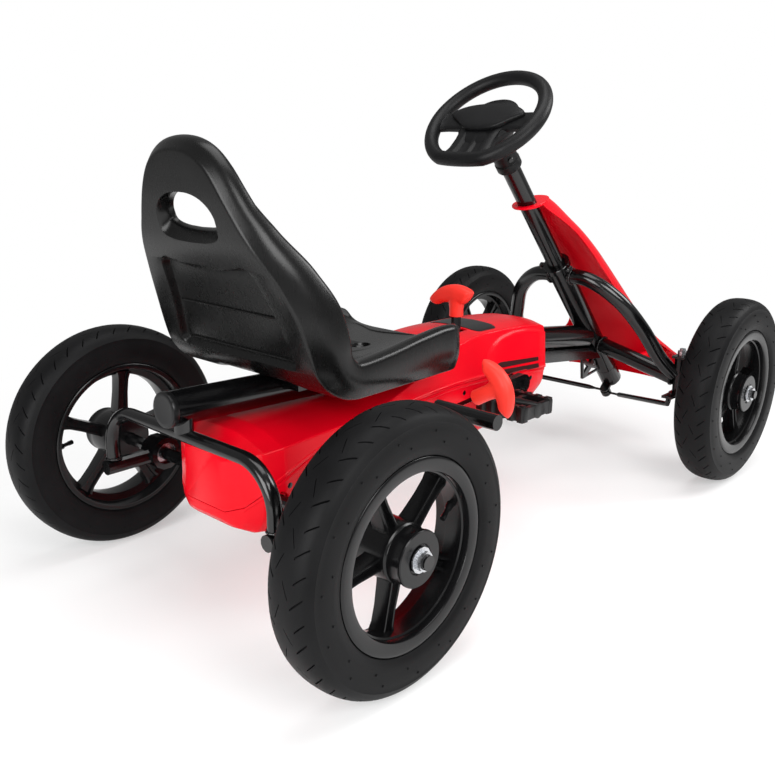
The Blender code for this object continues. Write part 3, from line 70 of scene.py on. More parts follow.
def add(tree, kind, inputs=None, **settings):
    """Add a node. An input is a value, or another node's output socket to link from."""
    node = tree.nodes.new(kind)
    for name, value in settings.items():
        setattr(node, name, value)
    for key, value in (inputs or {}).items():
        socket = node.inputs[key]
        if isinstance(value, bpy.types.NodeSocket):
            tree.links.new(value, socket)
        else:
            socket.default_value = value
    return node


def new_material(name):
    """An empty node material with its shader and the piece's own coordinates."""
    material = bpy.data.materials.new(name)
    material.use_nodes = True
    tree = material.node_tree
    shader = tree.nodes["Principled BSDF"]
    place = add(tree, "ShaderNodeTexCoord").outputs["Object"]
    return material, tree, shader, place


def shade_between(tree, factor, low, high):
    """Two hex colours mixed by a factor."""
    ramp = add(tree, "ShaderNodeValToRGB", {"Fac": factor})
    ramp.color_ramp.elements[0].color = linear(low)
    ramp.color_ramp.elements[1].color = linear(high)
    ramp.color_ramp.elements[0].position = 0.3
    ramp.color_ramp.elements[1].position = 0.7
    return ramp.outputs["Color"]


def spread(tree, factor, low, high):
    """A factor from 0 to 1 stretched over a range of roughness."""
    stretched = add(tree, "ShaderNodeMapRange", {"Value": factor, "To Min": low, "To Max": high})
    return stretched.outputs["Result"]


def finish(tree, shader, colour, rough, bump=None):
    """Link colour, roughness and relief to a shader."""
    tree.links.new(colour, shader.inputs["Base Color"])
    tree.links.new(rough, shader.inputs["Roughness"])
    if bump:
        tree.links.new(bump.outputs["Normal"], shader.inputs["Normal"])


def per_metre(size_mm):
    """Scale of a pattern whose marks are a size in millimetres."""
    return 1000 / size_mm


print("mid grey in linear light:", round(linear("#808080")[0], 3))

# %% [markdown]
# Moulded polypropylene is what the covers are made of: an even, strong red with a soft sheen. A mould
# leaves a faint orange peel, a few millimetres across, and handling leaves slightly duller patches. A noise
# for each is enough, one in the relief and one in colour and gloss. The grips are a lighter, duller red of
# the same kind, and the strips on the case a red so dark that it reads as black.

# %% Red moulded covers
PATCH_MM = 111.0
PEEL_DEPTH = 0.0004


def moulded_plastic(name, low, high, roughness, peel_mm, depth, gloss):
    """A smooth moulding: even colour, slightly duller patches and a faint orange peel."""
    material, tree, shader, place = new_material(name)
    cloud = add(tree, "ShaderNodeTexNoise", {"Vector": place, "Scale": per_metre(PATCH_MM), "Detail": 4.0})
    peel = add(tree, "ShaderNodeTexNoise", {"Vector": place, "Scale": per_metre(peel_mm), "Detail": 2.0})
    bump = add(tree, "ShaderNodeBump", {"Height": peel.outputs["Fac"], "Strength": depth,
                                        "Distance": PEEL_DEPTH})
    patches = cloud.outputs["Fac"]
    finish(tree, shader, shade_between(tree, patches, low, high), spread(tree, patches, *roughness), bump)
    shader.inputs["IOR"].default_value = 1.49
    shader.inputs["Specular IOR Level"].default_value = gloss
    return material


COVER_RED = moulded_plastic("moulded_red_polypropylene", "#DC0218", "#E6041C", roughness=(0.20, 0.30),
                            peel_mm=4.0, depth=0.06, gloss=0.16)
GRIP_RED = moulded_plastic("moulded_red_grip", "#F2332A", "#F83C30", roughness=(0.36, 0.46),
                           peel_mm=2.5, depth=0.12, gloss=0.25)
STRIPE_BLACK = moulded_plastic("moulded_dark_inlay", "#2A0406", "#340709", roughness=(0.40, 0.50),
                               peel_mm=2.5, depth=0.10, gloss=0.30)
print("red plastics made")

# %% [markdown]
# Blow-moulded polyethylene gives the seat a soft black sheen over a fine sand grain. The real grain is
# about half a millimetre; it is drawn at 1.2 mm here so that it shows in the picture. Faint streaks run down
# the mould's walls, so a noise stretched upright varies the gloss and the relief. The rims, the steering
# wheel's cover and the pedals are built the same way, from a shinier nylon to a dull foam.

# %% Black plastics
STREAK_MM = 3.85
STREAK_STRETCH = 0.12
STREAK_DEPTH = 0.00003
GLOSS_PATCH_MM = 71.0
GRAIN_DEPTH = 0.0003


def grained_plastic(name, low, high, roughness, grain_mm, depth, gloss):
    """A grained moulding: fine pits, upright streaks, and patches that vary its gloss."""
    material, tree, shader, place = new_material(name)
    upright = add(tree, "ShaderNodeMapping", {"Vector": place, "Scale": (1.0, 1.0, STREAK_STRETCH)})
    streak = add(tree, "ShaderNodeTexNoise", {"Vector": upright.outputs["Vector"],
                                              "Scale": per_metre(STREAK_MM), "Detail": 3.0})
    cloud = add(tree, "ShaderNodeTexNoise", {"Vector": place, "Scale": per_metre(GLOSS_PATCH_MM),
                                             "Detail": 3.0})
    grain = add(tree, "ShaderNodeTexVoronoi", {"Vector": place, "Scale": per_metre(grain_mm)})
    lines = add(tree, "ShaderNodeBump", {"Height": streak.outputs["Fac"], "Strength": depth,
                                         "Distance": STREAK_DEPTH})
    bump = add(tree, "ShaderNodeBump", {"Height": grain.outputs["Distance"], "Strength": depth,
                                        "Distance": GRAIN_DEPTH, "Normal": lines.outputs["Normal"]})
    mixed = add(tree, "ShaderNodeMath", {0: streak.outputs["Fac"], 1: cloud.outputs["Fac"]},
                operation="MULTIPLY")
    colour = shade_between(tree, cloud.outputs["Fac"], low, high)
    finish(tree, shader, colour, spread(tree, mixed.outputs["Value"], *roughness), bump)
    shader.inputs["Specular IOR Level"].default_value = gloss
    return material


SEAT_BLACK = grained_plastic("grained_black_polyethylene", "#080808", "#0C0C0C", roughness=(0.25, 0.35),
                             grain_mm=1.2, depth=0.10, gloss=0.30)
RIM_BLACK = grained_plastic("moulded_black_nylon", "#0B0B0C", "#101011", roughness=(0.20, 0.32),
                            grain_mm=1.2, depth=0.06, gloss=0.30)
WHEEL_BLACK = grained_plastic("soft_black_foam_grip", "#0C0C0D", "#111112", roughness=(0.40, 0.54),
                              grain_mm=1.0, depth=0.22, gloss=0.22)
PEDAL_BLACK = grained_plastic("moulded_black_pedal", "#0D0D0E", "#121213", roughness=(0.28, 0.42),
                              grain_mm=1.6, depth=0.12, gloss=0.30)
print("black plastics made")

# %% [markdown]
# Tyre rubber scatters nearly all of its reflection. Dust dulls it in patches, and the mould's skin shows as
# a fine pitted texture.

# %% Tyre rubber
DUST_MM = 45.5
PIT_MM = 1.43


def tyre_rubber():
    """Black rubber: a broad weak sheen, dusty patches and a pitted skin."""
    material, tree, shader, place = new_material("vulcanised_tyre_rubber")
    dust = add(tree, "ShaderNodeTexNoise", {"Vector": place, "Scale": per_metre(DUST_MM), "Detail": 6.0})
    pits = add(tree, "ShaderNodeTexNoise", {"Vector": place, "Scale": per_metre(PIT_MM), "Detail": 2.0})
    bump = add(tree, "ShaderNodeBump", {"Height": pits.outputs["Fac"], "Strength": 0.25,
                                        "Distance": PEEL_DEPTH})
    colour = shade_between(tree, dust.outputs["Fac"], "#0A0A0B", "#111112")
    finish(tree, shader, colour, spread(tree, dust.outputs["Fac"], 0.44, 0.58), bump)
    shader.inputs["Specular IOR Level"].default_value = 0.12
    return material


TYRE = tyre_rubber()
print("tyre rubber made")

# %% [markdown]
# The tubes are powder coated: a thick gloss black with a slow orange peel, about 3 mm from crest to crest.
# Nuts, bolts and bearings are zinc plated steel, a grey metal whose gloss is broken by fine scratches.

# %% Paint and plated steel
COAT_PEEL_MM = 3.03
COAT_PATCH_MM = 55.5
SCRATCH_MM = 1.11
SCRATCH_STRETCH = 0.1


def powder_coat():
    """Gloss black: sharp highlights that waver a little over the peel."""
    material, tree, shader, place = new_material("gloss_black_powder_coat")
    peel = add(tree, "ShaderNodeTexNoise", {"Vector": place, "Scale": per_metre(COAT_PEEL_MM), "Detail": 2.0})
    cloud = add(tree, "ShaderNodeTexNoise", {"Vector": place, "Scale": per_metre(COAT_PATCH_MM),
                                             "Detail": 3.0})
    bump = add(tree, "ShaderNodeBump", {"Height": peel.outputs["Fac"], "Strength": 0.10,
                                        "Distance": PEEL_DEPTH})
    colour = shade_between(tree, cloud.outputs["Fac"], "#050506", "#0A0A0B")
    finish(tree, shader, colour, spread(tree, cloud.outputs["Fac"], 0.12, 0.22), bump)
    return material


def zinc_plate():
    """Pale grey metal: a soft mirror, drawn out along the scratches."""
    material, tree, shader, place = new_material("zinc_plated_steel")
    along = add(tree, "ShaderNodeMapping", {"Vector": place, "Scale": (1.0, SCRATCH_STRETCH, 1.0)})
    scratch = add(tree, "ShaderNodeTexNoise", {"Vector": along.outputs["Vector"],
                                               "Scale": per_metre(SCRATCH_MM)})
    colour = shade_between(tree, scratch.outputs["Fac"], "#A9ABAE", "#CFD1D4")
    finish(tree, shader, colour, spread(tree, scratch.outputs["Fac"], 0.20, 0.38))
    shader.inputs["Metallic"].default_value = 1.0
    return material


PAINT = powder_coat()
ZINC = zinc_plate()
print("paint and plating made")

# %% [markdown]
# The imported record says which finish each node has, so one loop paints them all. The rear axle's shaft is
# plated in the record; its middle is painted and only the ends run in nuts, so it takes the paint.

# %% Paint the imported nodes
BY_SLOT = {"black_paint": PAINT, "red_plastic": COVER_RED, "black_plastic": RIM_BLACK, "tyre_rubber": TYRE,
           "zinc_steel": ZINC}
for part in frame["record"]["subparts"]:
    node = nodes[part["node"]]
    node.data.materials.clear()
    node.data.materials.append(BY_SLOT[part["material_slot"]])
nodes["rear_shaft"].data.materials[0] = PAINT
print("painted", len(nodes), "nodes")

# %% [markdown]
# The first mesh helpers finish a piece: a shape becomes an object at the origin, modifiers become plain
# mesh, shapes are joined or cut, edges are softened, and the piece rides on a body of the kart.

# %% Helpers that finish a piece
LEFT = Vector((0.0, 1.0, 0.0))
RIGHT = Vector((0.0, -1.0, 0.0))
UP = Vector((0.0, 0.0, 1.0))
FORWARD = Vector((1.0, 0.0, 0.0))


def to_object(name, bm, material, sharp=35.0):
    """A shape as an object at the origin, faces outward and edges smoothed up to an angle."""
    bmesh.ops.remove_doubles(bm, verts=bm.verts, dist=0.00001)
    bmesh.ops.recalc_face_normals(bm, faces=bm.faces)
    mesh = bpy.data.meshes.new(name)
    bm.to_mesh(mesh)
    bm.free()
    mesh.materials.append(material)
    mesh.shade_smooth()
    mesh.set_sharp_from_angle(angle=math.radians(sharp))
    obj = bpy.data.objects.new(name, mesh)
    bpy.context.scene.collection.objects.link(obj)
    return obj


def bake(obj, sharp=35.0):
    """Turn an object's modifiers into plain mesh."""
    graph = bpy.context.evaluated_depsgraph_get()
    mesh = bpy.data.meshes.new_from_object(obj.evaluated_get(graph))
    obj.modifiers.clear()
    old = obj.data
    obj.data = mesh
    bpy.data.meshes.remove(old)
    mesh.shade_smooth()
    mesh.set_sharp_from_angle(angle=math.radians(sharp))
    return obj


def boolean(obj, other, operation="UNION"):
    """Join or cut with another shape, which is then thrown away."""
    modifier = obj.modifiers.new("shape", "BOOLEAN")
    modifier.operation = operation
    modifier.solver = "EXACT"
    modifier.object = other
    bake(obj)
    bpy.data.objects.remove(other, do_unlink=True)
    return obj


def soften(obj, width, angle, sharp=40.0):
    """A small bevel on every edge sharper than an angle."""
    edge = obj.modifiers.new("edges", "BEVEL")
    edge.width = width
    edge.segments = 2
    edge.limit_method = "ANGLE"
    edge.angle_limit = math.radians(angle)
    return bake(obj, sharp)


def merge(obj, *others):
    """Add other shapes' meshes to an object, as pieces of the same moulding."""
    bm = bmesh.new()
    bm.from_mesh(obj.data)
    for other in others:
        bm.from_mesh(other.data)
        bpy.data.objects.remove(other, do_unlink=True)
    bm.to_mesh(obj.data)
    bm.free()
    return obj


def wear(obj, body, slot, *replaced):
    """Let a finished piece ride on a body and stand for the nodes it replaces; the slot is not used."""
    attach(obj, body)
    if replaced:
        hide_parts(*replaced)
    return obj


def middle_of(node):
    """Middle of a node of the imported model."""
    low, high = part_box(node)
    return (low + high) / 2


print("crank stands at", [round(v, 4) for v in middle_of("crankshaft")])

# %% [markdown]
# The next helpers make raw shapes: a row of rings is skinned, a profile is turned about an axis, or a
# section is carried along a path. Nearly every piece of the kart is one of these three.

# %% Helpers that make a shape


def axis_frame(origin, axis, across=None):
    """Turn and move local +Z onto an axis, with local +X onto the across direction."""
    z = Vector(axis).normalized()
    if across is None:
        across = FORWARD if abs(z.x) < 0.9 else UP
    y = z.cross(Vector(across)).normalized()
    x = y.cross(z)
    return Matrix.Translation(origin) @ Matrix((x, y, z)).transposed().to_4x4()


def skin(bm, rings, closed=False, end_cap=True):
    """Skin a row of equal rings, capped at its ends or joined round."""
    loops = [[bm.verts.new(p) for p in ring] for ring in rings]
    pairs = list(zip(loops, loops[1:]))
    if closed:
        pairs.append((loops[-1], loops[0]))
    else:
        bm.faces.new(reversed(loops[0]))
        if end_cap:
            bm.faces.new(loops[-1])
    count = len(loops[0])
    for a, b in pairs:
        for i in range(count):
            j = (i + 1) % count
            bm.faces.new((a[i], a[j], b[j], b[i]))


def turn_profile(bm, profile, sides, matrix, ring=False):
    """Turn (radius, height) points about local Z."""
    rows = []
    for radius, height in profile:
        steps = sides if radius > 1e-7 else 1
        angles = [2 * math.pi * k / sides for k in range(steps)]
        rows.append([bm.verts.new(matrix @ Vector((radius * math.cos(a), radius * math.sin(a), height)))
                     for a in angles])
    pairs = list(zip(rows, rows[1:]))
    if ring:
        pairs.append((rows[-1], rows[0]))
    for a, b in pairs:
        for k in range(sides):
            j = (k + 1) % sides
            corners = [a[k % len(a)], a[j % len(a)], b[j % len(b)], b[k % len(b)]]
            bm.faces.new(list(dict.fromkeys(corners)))


def oval(half_a, half_b, count):
    """Points round an oval."""
    turns = [2 * math.pi * i / count for i in range(count)]
    return [(half_a * math.cos(t), half_b * math.sin(t)) for t in turns]


def carry(bm, points, section, normal, closed=False, taper=None):
    """Carry a section along a path. Its first axis keeps to the normal, its second lies in the path."""
    points = [Vector(p) for p in points]
    rings = []
    for i, point in enumerate(points):
        before = points[i - 1] if i > 0 or closed else point
        after = points[(i + 1) % len(points)] if i + 1 < len(points) or closed else point
        along = (after - before).normalized()
        side = along.cross(normal).normalized()
        upright = side.cross(along)
        scale = taper[i] if taper else 1.0
        rings.append([point + upright * a * scale + side * b * scale for a, b in section])
    skin(bm, rings, closed)


def box_shape(bm, low, high):
    """A plain box between two corners."""
    bottom = [(low[0], low[1]), (high[0], low[1]), (high[0], high[1]), (low[0], high[1])]
    skin(bm, [[(x, y, z) for x, y in bottom] for z in (low[2], high[2])])


def rod_space(bm, start, end, radius):
    """A plain round rod, for a bore or a boss."""
    start = Vector(start)
    length = (Vector(end) - start).length
    turn_profile(bm, [(0.0, 0.0), (radius, 0.0), (radius, length), (0.0, length)], 32,
                 axis_frame(start, Vector(end) - start))


print("an oval of four points:", [tuple(round(v, 3) for v in p) for p in oval(2.0, 1.0, 4)])

# %% [markdown]
# Moulded skins have no kinks, so places between a few chosen points or table rows are read along smooth
# curves. A cubic through points takes its slope at each from the neighbours; the one through table rows
# is also kept from overshooting.

# %% Helpers that keep a curve fair


def between(a, b, c, d, t):
    """A point from b to c on a cubic whose slopes at both come from their neighbours."""
    return 0.5 * (2 * b + (c - a) * t + (2 * a - 5 * b + 4 * c - d) * t ** 2
                  + (3 * b - a - 3 * c + d) * t ** 3)


def smooth_path(points, per_span):
    """A round curve through a few points."""
    points = [Vector(p) for p in points]
    padded = [2 * points[0] - points[1], *points, 2 * points[-1] - points[-2]]
    spans = zip(padded, padded[1:], padded[2:], padded[3:])
    return [between(*span, k / per_span) for span in spans for k in range(per_span)] + [points[-1]]


def rounded_ring(points, per_span):
    """A closed ring through a few points, rounded in the same way."""
    count = len(points)
    spans = [[Vector(points[(i + k) % count]) for k in (-1, 0, 1, 2)] for i in range(count)]
    return [between(*span, k / per_span) for span in spans for k in range(per_span)]


def fair(table, at):
    """Read a table of (place, values...) rows at a place, along a smooth curve that never overshoots."""
    places = [row[0] for row in table]
    i = min(max(sum(p <= at for p in places) - 1, 0), len(table) - 2)
    span = places[i + 1] - places[i]
    t = min(max((at - places[i]) / span, 0.0), 1.0)

    def slope(k, column):
        if k == 0:
            return (table[1][column] - table[0][column]) / (places[1] - places[0])
        if k == len(table) - 1:
            return (table[k][column] - table[k - 1][column]) / (places[k] - places[k - 1])
        left = (table[k][column] - table[k - 1][column]) / (places[k] - places[k - 1])
        right = (table[k + 1][column] - table[k][column]) / (places[k + 1] - places[k])
        return 0.0 if left * right <= 0 else 2 * left * right / (left + right)

    values = []
    for column in range(1, len(table[0])):
        p, q = table[i][column], table[i + 1][column]
        m, n = slope(i, column) * span, slope(i + 1, column) * span
        values.append((2 * t ** 3 - 3 * t ** 2 + 1) * p + (t ** 3 - 2 * t ** 2 + t) * m
                      + (3 * t ** 2 - 2 * t ** 3) * q + (t ** 3 - t ** 2) * n)
    return values


print("halfway up a step of two:", fair([(0.0, 0.0), (1.0, 2.0)], 0.5))

# %% [markdown]
# What repeats round an axle, such as tread cuts, sidewall pips and spokes, is one shape copied by a
# Geometry Nodes tree. Its inputs are the shape and the count; it ends in Realize Instances and Set
# Material, and the result is turned into a plain mesh.

# %% Copies round an axle


def copies_tree(material):
    """A tree that copies a shape a number of times round the Y axis."""
    tree = bpy.data.node_groups.new("copies_round_an_axle", "GeometryNodeTree")
    face = tree.interface
    face.new_socket("Geometry", in_out="INPUT", socket_type="NodeSocketGeometry")
    face.new_socket("Count", in_out="INPUT", socket_type="NodeSocketInt")
    face.new_socket("Geometry", in_out="OUTPUT", socket_type="NodeSocketGeometry")
    start = add(tree, "NodeGroupInput")
    line = add(tree, "GeometryNodeMeshLine", {"Count": start.outputs["Count"], "Offset": (0.0, 0.0, 0.0)})
    index = add(tree, "GeometryNodeInputIndex")
    step = add(tree, "ShaderNodeMath", {0: 2 * math.pi, 1: start.outputs["Count"]}, operation="DIVIDE")
    angle = add(tree, "ShaderNodeMath", {0: index.outputs[0], 1: step.outputs[0]}, operation="MULTIPLY")
    turn = add(tree, "ShaderNodeCombineXYZ", {"Y": angle.outputs[0]})
    copies = add(tree, "GeometryNodeInstanceOnPoints", {"Points": line.outputs["Mesh"],
                                                       "Instance": start.outputs["Geometry"],
                                                       "Rotation": turn.outputs["Vector"]})
    real = add(tree, "GeometryNodeRealizeInstances", {"Geometry": copies.outputs["Instances"]})
    coat = add(tree, "GeometryNodeSetMaterial", {"Geometry": real.outputs["Geometry"],
                                                 "Material": material})
    add(tree, "NodeGroupOutput", {"Geometry": coat.outputs["Geometry"]})
    return tree


def copy_round(name, bm, count, material):
    """Copy a shape a number of times round the Y axis."""
    obj = to_object(name, bm, material)
    tree = copies_tree(material)
    modifier = obj.modifiers.new("copies", "NODES")
    modifier.node_group = tree
    wanted = next(s for s in tree.interface.items_tree if s.name == "Count")
    modifier[wanted.identifier] = count
    bake(obj)
    return obj


# %% [markdown]
# Each tyre is one turned carcass. The tread is nearly smooth: short slanted slots run in a zigzag round
# both shoulders, and small pips stand on the sidewall where the mould was vented. A bump map would not show
# at the outline, so the slots are cut. One tyre is made about the Y axis and used for all four wheels,
# turned so that its outer side faces out.

# %% Tyres
REAR_X = middle_of("rear_left_tyre").x
FRONT_X = middle_of("front_left_tyre").x
WHEEL_Z = middle_of("rear_left_tyre").z
TYRE_R = 0.1516
AXLE = axis_frame(Vector((0.0, 0.0, 0.0)), RIGHT)
# Half of the carcass: radius and distance from the tyre's middle, from the bead to the tread
TYRE_SIDE = [(0.0980, 0.0212), (0.1034, 0.0234), (0.1038, 0.0262), (0.1056, 0.0280), (0.1072, 0.0283),
             (0.1080, 0.0290), (0.1150, 0.0299), (0.1230, 0.0303), (0.1310, 0.0300), (0.1362, 0.0291),
             (0.1372, 0.0293), (0.1384, 0.0286), (0.1420, 0.0268), (0.1450, 0.0244), (0.1475, 0.0212),
             (0.1494, 0.0172), (0.1506, 0.0128), (0.1513, 0.0082), (TYRE_R, 0.0040), (TYRE_R, 0.0)]
TREAD_LOW = 0.140
PITCHES = 20
# Slots of one pitch: start and end as (pitches round, distance from the middle), width, depth
TREAD_SLOTS = [((0.00, 0.0015), (0.34, 0.0090), 0.0026, 0.0032),
               ((0.52, 0.0112), (0.28, 0.0232), 0.0030, 0.0032),
               ((1.00, 0.0140), (0.80, 0.0240), 0.0026, 0.0030)]
PIP_COUNT = 15
PIP_OUT = 0.0299
PIP_PLACES = ((0.0, 0.1180), (0.13, 0.1290))


def tread_height(h):
    """Radius of the tread's surface at a distance from the tyre's middle."""
    side = sorted((b, a) for a, b in TYRE_SIDE if a > TREAD_LOW)
    for (h0, r0), (h1, r1) in zip(side, side[1:]):
        if h <= h1:
            return r0 + (r1 - r0) * (h - h0) / (h1 - h0)
    return side[-1][1]


def tread_cut(bm, start, end, width, depth):
    """A slot across the tread, from one (angle, distance) place to another, following its curve."""
    rings = []
    steps = 5
    for k in range(steps + 1):
        angle = start[0] + (end[0] - start[0]) * k / steps
        h = start[1] + (end[1] - start[1]) * k / steps
        outer = tread_height(abs(h)) + 0.003
        inner = tread_height(abs(h)) - depth * min(1.0, 0.35 + min(k, steps - k))
        half = width / 2 / TYRE_R
        ring = []
        for r, da in ((inner, -half * 0.6), (outer, -half), (outer, half), (inner, half * 0.6)):
            ring.append(Vector((r * math.cos(angle + da), h, r * math.sin(angle + da))))
        rings.append(ring)
    skin(bm, rings)


def make_tyre():
    """The carcass, with the slots of both shoulders cut and the pips of both sides added."""
    bm = bmesh.new()
    profile = TYRE_SIDE + [(r, -h) for r, h in reversed(TYRE_SIDE[:-1])]
    turn_profile(bm, profile, 112, AXLE, ring=True)
    tyre = to_object("tyre_shape", bm, TYRE)
    pitch = 2 * math.pi / PITCHES
    bm = bmesh.new()
    for way, shift in ((1, 0.0), (-1, 0.5)):
        for start, end, width, depth in TREAD_SLOTS:
            ends = [((shift + turn) * pitch, way * h) for turn, h in (start, end)]
            tread_cut(bm, *ends, width, depth)
    boolean(tyre, copy_round("tread_cuts", bm, PITCHES, TYRE), "DIFFERENCE")
    bm = bmesh.new()
    for angle, radius in PIP_PLACES:
        for way in (1, -1):
            at = Matrix.Rotation(-angle, 4, "Y") @ Vector((radius, way * PIP_OUT, 0.0))
            turn_profile(bm, [(0.0, -0.001), (0.0013, -0.001), (0.0011, 0.0010), (0.0, 0.0014)], 8,
                         axis_frame(at, LEFT * way))
    return boolean(tyre, copy_round("vent_pips", bm, PIP_COUNT, TYRE))


WHEELS = {"rear_right": "rear_axle", "rear_left": "rear_left_wheel", "front_right": "front_right_wheel",
          "front_left": "front_left_wheel"}
WHEEL_STEP = 0.31


def fit_to_wheels(shape, suffix, slot, turn=0.0):
    """Copies of a wheel piece at all four hubs. Left-hand ones are turned to face the other way."""
    for k, (name, body) in enumerate(WHEELS.items()):
        centre = middle_of(name + "_tyre")
        mesh = shape.data.copy()
        mesh.transform(Matrix.Rotation(turn + WHEEL_STEP * k, 4, "Y"))
        if centre.y > 0:
            mesh.transform(Matrix.Rotation(math.pi, 4, "Z"))
        mesh.transform(Matrix.Translation(centre))
        obj = bpy.data.objects.new("look_" + name + "_" + suffix, mesh)
        bpy.context.scene.collection.objects.link(obj)
        wear(obj, body, slot, name + "_" + suffix)
    bpy.data.objects.remove(shape, do_unlink=True)


fit_to_wheels(make_tyre(), "tyre", "tyre_rubber")
print("tyres fitted")

# %% [markdown]
# The rims are one nylon moulding: a barrel with a broad flat lip, a plain drum of a hub, and five narrow
# spokes that carry two ridges with a valley between. The barrel is opened on its inner half, so daylight
# shows past the spokes. Barrel and hub are turned, the spokes are copied round the axle, and all are joined
# into one solid with the valve.

# %% Rims
# Barrel and hub: radius and distance out from the rim's middle, round each section
BARREL = [(0.1026, 0.0262), (0.1016, 0.0270), (0.0985, 0.0272), (0.0890, 0.0268), (0.0878, 0.0262),
          (0.0872, 0.0250), (0.0868, 0.0180), (0.0850, 0.0168), (0.0846, 0.0120), (0.0846, -0.0020),
          (0.0852, -0.0050), (0.0940, -0.0095), (0.0951, -0.0125), (0.0954, -0.0250), (0.0958, -0.0266),
          (0.0985, -0.0272), (0.1016, -0.0270), (0.1026, -0.0262), (0.1024, -0.0244), (0.0974, -0.0220),
          (0.0972, 0.0), (0.0974, 0.0220), (0.1024, 0.0244)]
HUB = [(0.0086, 0.0310), (0.0150, 0.0310), (0.0165, 0.0326), (0.0288, 0.0326), (0.0300, 0.0317),
       (0.0303, 0.0290), (0.0298, 0.0276), (0.0294, 0.0262), (0.0294, 0.0150), (0.0300, 0.0138),
       (0.0318, 0.0124), (0.0322, 0.0095), (0.0322, -0.0260), (0.0312, -0.0286), (0.0270, -0.0330),
       (0.0250, -0.0338), (0.0086, -0.0338)]
# The right half of a spoke's section, from its back to the valley, in half widths and half depths
SPOKE_HALF = [(0.50, -0.70), (0.62, -1.0), (1.0, -1.0), (1.0, 0.72), (0.92, 0.95), (0.74, 1.0), (0.56, 0.94),
              (0.42, 0.58), (0.24, 0.40)]
SPOKE_SECTION = SPOKE_HALF + [(-a, b) for a, b in reversed(SPOKE_HALF)]
# Rows: radius, half width, half depth
SPOKE_ROWS = [(0.024, 0.0092, 0.0108), (0.036, 0.0078, 0.0100), (0.060, 0.0070, 0.0092),
              (0.078, 0.0074, 0.0094), (0.085, 0.0088, 0.0100), (0.089, 0.0104, 0.0104)]
SPOKE_COUNT = 5
SPOKE_SHIFT = 0.002
VALVE = [(0.0, 0.0), (0.0042, 0.0), (0.0040, 0.008), (0.0026, 0.010), (0.0026, 0.019), (0.0031, 0.0195),
         (0.0031, 0.0255), (0.0, 0.0260)]
VALVE_TURN = -0.82
RIM_TURN = 0.52


def make_rim():
    """Barrel and hub, the spokes between them, and the valve in the barrel."""
    bm = bmesh.new()
    turn_profile(bm, BARREL, 96, AXLE, ring=True)
    turn_profile(bm, HUB, 48, AXLE, ring=True)
    rim = to_object("rim_shape", bm, RIM_BLACK)
    bm = bmesh.new()
    skin(bm, [[Vector((radius, SPOKE_SHIFT - b * deep, a * half)) for a, b in SPOKE_SECTION]
              for radius, half, deep in SPOKE_ROWS])
    boolean(rim, copy_round("spokes", bm, SPOKE_COUNT, RIM_BLACK))
    bm = bmesh.new()
    valve_at = axis_frame(Vector((0.0856, -0.004, 0.0)), (-1.0, -0.35, 0.0))
    turn_profile(bm, VALVE, 14, Matrix.Rotation(VALVE_TURN, 4, "Y") @ valve_at)
    return boolean(rim, to_object("valve", bm, RIM_BLACK))


fit_to_wheels(make_rim(), "rim", "black_plastic", RIM_TURN)
print("rims fitted")

# %% [markdown]
# The seat is one blow-moulded shell. A section with a flat underside, swelling side walls, rolled wings and
# a hollow for the rider is carried along a side profile that runs back over the pan, round a corner and up
# the leaning back. Widths and heights come from a table and are read along a fair curve. Near the top the
# last section is swung up until both halves meet, because ever narrower sections would end in a bump.

# %% Seat shell
SEAT_BASE = 0.268
SEAT_FRONT = -0.132
SEAT_FOOT = -0.385
SEAT_LEAN = math.radians(17.7)
SEAT_TOP = 0.5455
SEAT_BEND = 0.050
LEAN = Vector((-math.sin(SEAT_LEAN), 0.0, math.cos(SEAT_LEAN)))
BACK_OUT = Vector((LEAN.z, 0.0, -LEAN.x))
CORNER = Vector((SEAT_FOOT, 0.0, SEAT_BASE))
TURN = math.acos(-LEAN.x)
BEND_R = SEAT_BEND / math.tan(TURN / 2)
PAN = SEAT_FRONT - (SEAT_FOOT + SEAT_BEND)
FOOT = PAN + BEND_R * TURN
BACK = (SEAT_TOP - SEAT_BASE) / LEAN.z - SEAT_BEND
SEAT_LENGTH = FOOT + BACK
BEND_LOW = PAN + 0.5 * (FOOT - PAN)
# Rows: distance, half width, wing height, floor height, hollow below, bow of the back
SEAT_ROWS = [(0.0, 0.142, 0.0600, 0.0265, 0.0124, 0.0), (0.012, 0.142, 0.0600, 0.030, 0.0155, 0.0),
             (0.045, 0.142, 0.0600, 0.030, 0.0155, 0.0), (PAN * 0.45, 0.144, 0.0564, 0.030, 0.0155, 0.0),
             (PAN * 0.8, 0.147, 0.0474, 0.030, 0.0155, 0.0), (PAN, 0.148, 0.0444, 0.030, 0.0155, 0.0),
             (BEND_LOW, 0.148, 0.0480, 0.0255, 0.0010, 0.0), (FOOT, 0.148, 0.0535, 0.0225, 0.0, 0.0),
             (FOOT + BACK * 0.16, 0.145, 0.0560, 0.0216, 0.0, 0.0),
             (FOOT + BACK * 0.38, 0.131, 0.0490, 0.0205, 0.0, 0.004),
             (FOOT + BACK * 0.58, 0.108, 0.0390, 0.0195, 0.0, 0.010),
             (FOOT + BACK * 0.74, 0.086, 0.0290, 0.0190, 0.0, 0.008),
             (FOOT + BACK * 0.87, 0.071, 0.0250, 0.0190, 0.0, 0.004),
             (FOOT + BACK * 0.955, 0.054, 0.0230, 0.0190, 0.0, 0.001),
             (SEAT_LENGTH, 0.040, 0.0220, 0.0190, 0.0, 0.0)]
FRONT_ROUND = 0.045
FRONT_NARROWER = 0.034
FRONT_LOWER = 0.24
FRONT_EDGE = 0.0065
ARCH_START = FOOT + BACK * 0.70
ARCH_RISE = SEAT_LENGTH - ARCH_START


